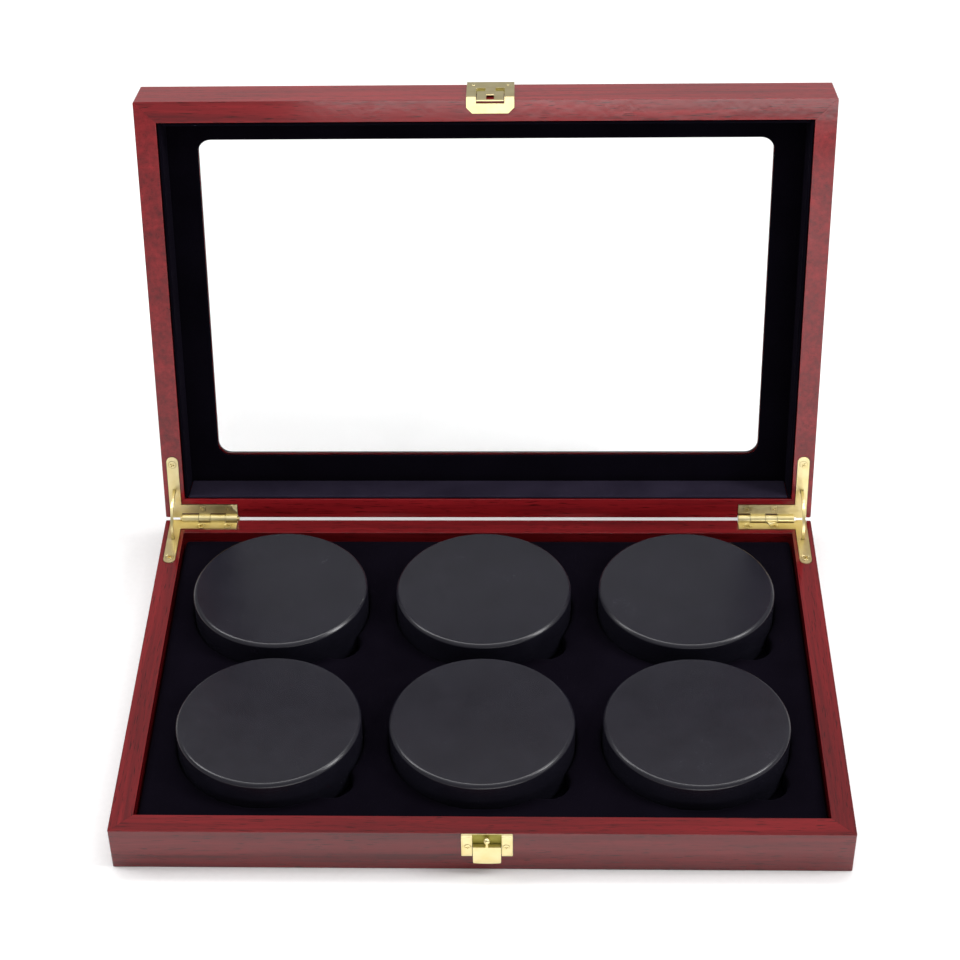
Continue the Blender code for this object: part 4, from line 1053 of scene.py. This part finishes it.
def addLidPanels():
    gap = leaves["woodGap"]
    halfX, halfY = innerX + case["rebate"] - gap, innerY + case["rebate"] - gap
    panel = addBlock("lidTopPanel", (-halfX, -halfY, topPanelZ), (halfX, halfY, lidTopZ))
    cutWith(panel, windowBlock("window", 0, topPanelZ - cutPast, lidTopZ + cutPast))
    seatTop = topPanelZ + lidFill["glass"] + gap
    cutWith(panel, windowBlock("glassSeat", lidFill["overlap"] + gap, topPanelZ - cutPast, seatTop))
    softenEdges(panel, lidFill["edge"], 3)
    near = 0.0002                                # reach past the opening within which a face is on its edge
    edgeX, edgeBack = lidFill["windowWidth"] / 2 + near, backY - lidFill["windowFromBack"] + near
    edgeFront = edgeBack - lidFill["windowDepth"] - 2 * near
    paintPart(panel, litMahoganyAcrossLid, blackEdge, lambda centre, normal: abs(normal.z) < 0.5 and abs(centre.x) < edgeX
              and edgeFront < centre.y < edgeBack)
    finishPiece(panel, "lid", litMahoganyAcrossLid, ["lid_top_panel"])
    halfX, halfY = innerX - gap, innerY - gap
    velvetTop = topPanelZ - gap
    velvetZ = velvetTop - lidFill["velvet"]
    panel = addBlock("lidVelvetPanel", (-halfX, -halfY, velvetZ), (halfX, halfY, velvetTop))
    cutWith(panel, windowBlock("window", 0, velvetZ - cutPast, velvetTop + cutPast))
    softenEdges(panel, lidFill["edge"], 4)
    finishPiece(panel, "lid", velvetCloth, ["lid_velvet_panel"])
    lowZ, highZ = lidRimZ + lidFill["liningInset"], velvetZ - gap
    thick = lidFill["lining"]
    endX = halfX - thick - gap
    strips = {"left": ((-halfX, -halfY), (-halfX + thick, halfY)), "right": ((halfX - thick, -halfY), (halfX, halfY)),
              "front": ((-endX, -halfY), (endX, -halfY + thick)), "back": ((-endX, halfY - thick), (endX, halfY))}
    for side, (low, high) in strips.items():
        strip = addBlock("lidLining" + side.capitalize(), (*low, lowZ), (*high, highZ))
        softenEdges(strip, lidFill["liningEdge"], 4)
        # the back lining takes the lighter velvet, which is painted sheen where it faces up
        cloth = sheenLitVelvet if side == "back" else velvetCloth
        finishPiece(strip, "lid", cloth, ["lid_lining_" + side])


addLidPanels()
print("lid filling made")


def dress(node, material):
    for place in frame["nodes"][node].material_slots:
        place.material = material


dress("base_bottom_panel", fibreBoard)
dress("lid_glass", windowGlass)
dress("latch_pin", steelWire)
dress("latch_spring", steelWire)
dress("hinge_left_pin", steelWire)
dress("hinge_right_pin", steelWire)


# Stage

scene = bpy.context.scene
scene.view_settings.view_transform = "Standard"


def whiteFloor():
    material, tree, shader, place = newMaterial("white card")
    fibre = addNode(tree, "TexNoise", {}, {"Vector": place, "Scale": 400, "Detail": 2})
    tone = addNode(tree, "ValToRGB", {}, {"Fac": fibre.outputs["Fac"]}, [(0.3, "#FAFAFA"), (0.7, "#FDFDFD")])
    feed(tree, shader, {"Base Color": tone.outputs["Color"], "Roughness": 0.3, "Specular IOR Level": 0.3})
    return material


deselectAll()
bpy.ops.mesh.primitive_plane_add(size=60, location=(0, 0, -0.0002))
floor = bpy.context.object
floor.name = "floor"
floor.data.materials.append(whiteFloor())

world = bpy.data.worlds.new("studio")
scene.world = world
world.use_nodes = True
background = world.node_tree.nodes["Background"]
background.inputs["Color"].default_value = (1, 1, 1, 1)
background.inputs["Strength"].default_value = 0.36

lamps = {
    "overhead": {"place": (0.0, -0.15, 1.8), "size": (2.2, 2.2), "watts": 10},
    "backdrop": {"place": (0.0, 0.75, 2.1), "size": (2.2, 0.5), "watts": 24, "aim": (0.0, 0.8, 0.0)},
    "left": {"place": (-0.8, 0.1, 0.85), "size": (0.3, 0.4), "watts": 3.5},
    "right": {"place": (0.8, -0.1, 0.8), "size": (0.3, 0.4), "watts": 6},
    "front": {"place": (0.5, -1.7, 0.2), "size": (1.6, 0.3), "watts": 6, "aim": (0.0, 0.1, 0.15)},
}
for name, lamp in lamps.items():
    deselectAll()
    bpy.ops.object.light_add(type="AREA", location=lamp["place"])
    light = bpy.context.object
    light.name = name
    light.data.shape = "RECTANGLE"
    light.data.size, light.data.size_y = lamp["size"]
    light.data.energy = lamp["watts"]
    light.visible_camera = False
    aim = Vector(lamp.get("aim", (0, 0, 0.05))) - Vector(lamp["place"])
    light.rotation_euler = aim.to_track_quat("-Z", "Y").to_euler()

view = {"place": (0.018271, -0.750604, 0.712563), "turn": (49.5983, 1.2551, 1.6089), "lens": 86.11,
        "shift": (0.0383, 0.0998)}
deselectAll()
bpy.ops.object.camera_add(location=view["place"])
camera = bpy.context.object
camera.rotation_euler = [math.radians(angle) for angle in view["turn"]]
camera.data.lens = view["lens"]
camera.data.shift_x, camera.data.shift_y = view["shift"]
camera.data.clip_start, camera.data.clip_end = 0.01, 20
scene.camera = camera
print("stage set")
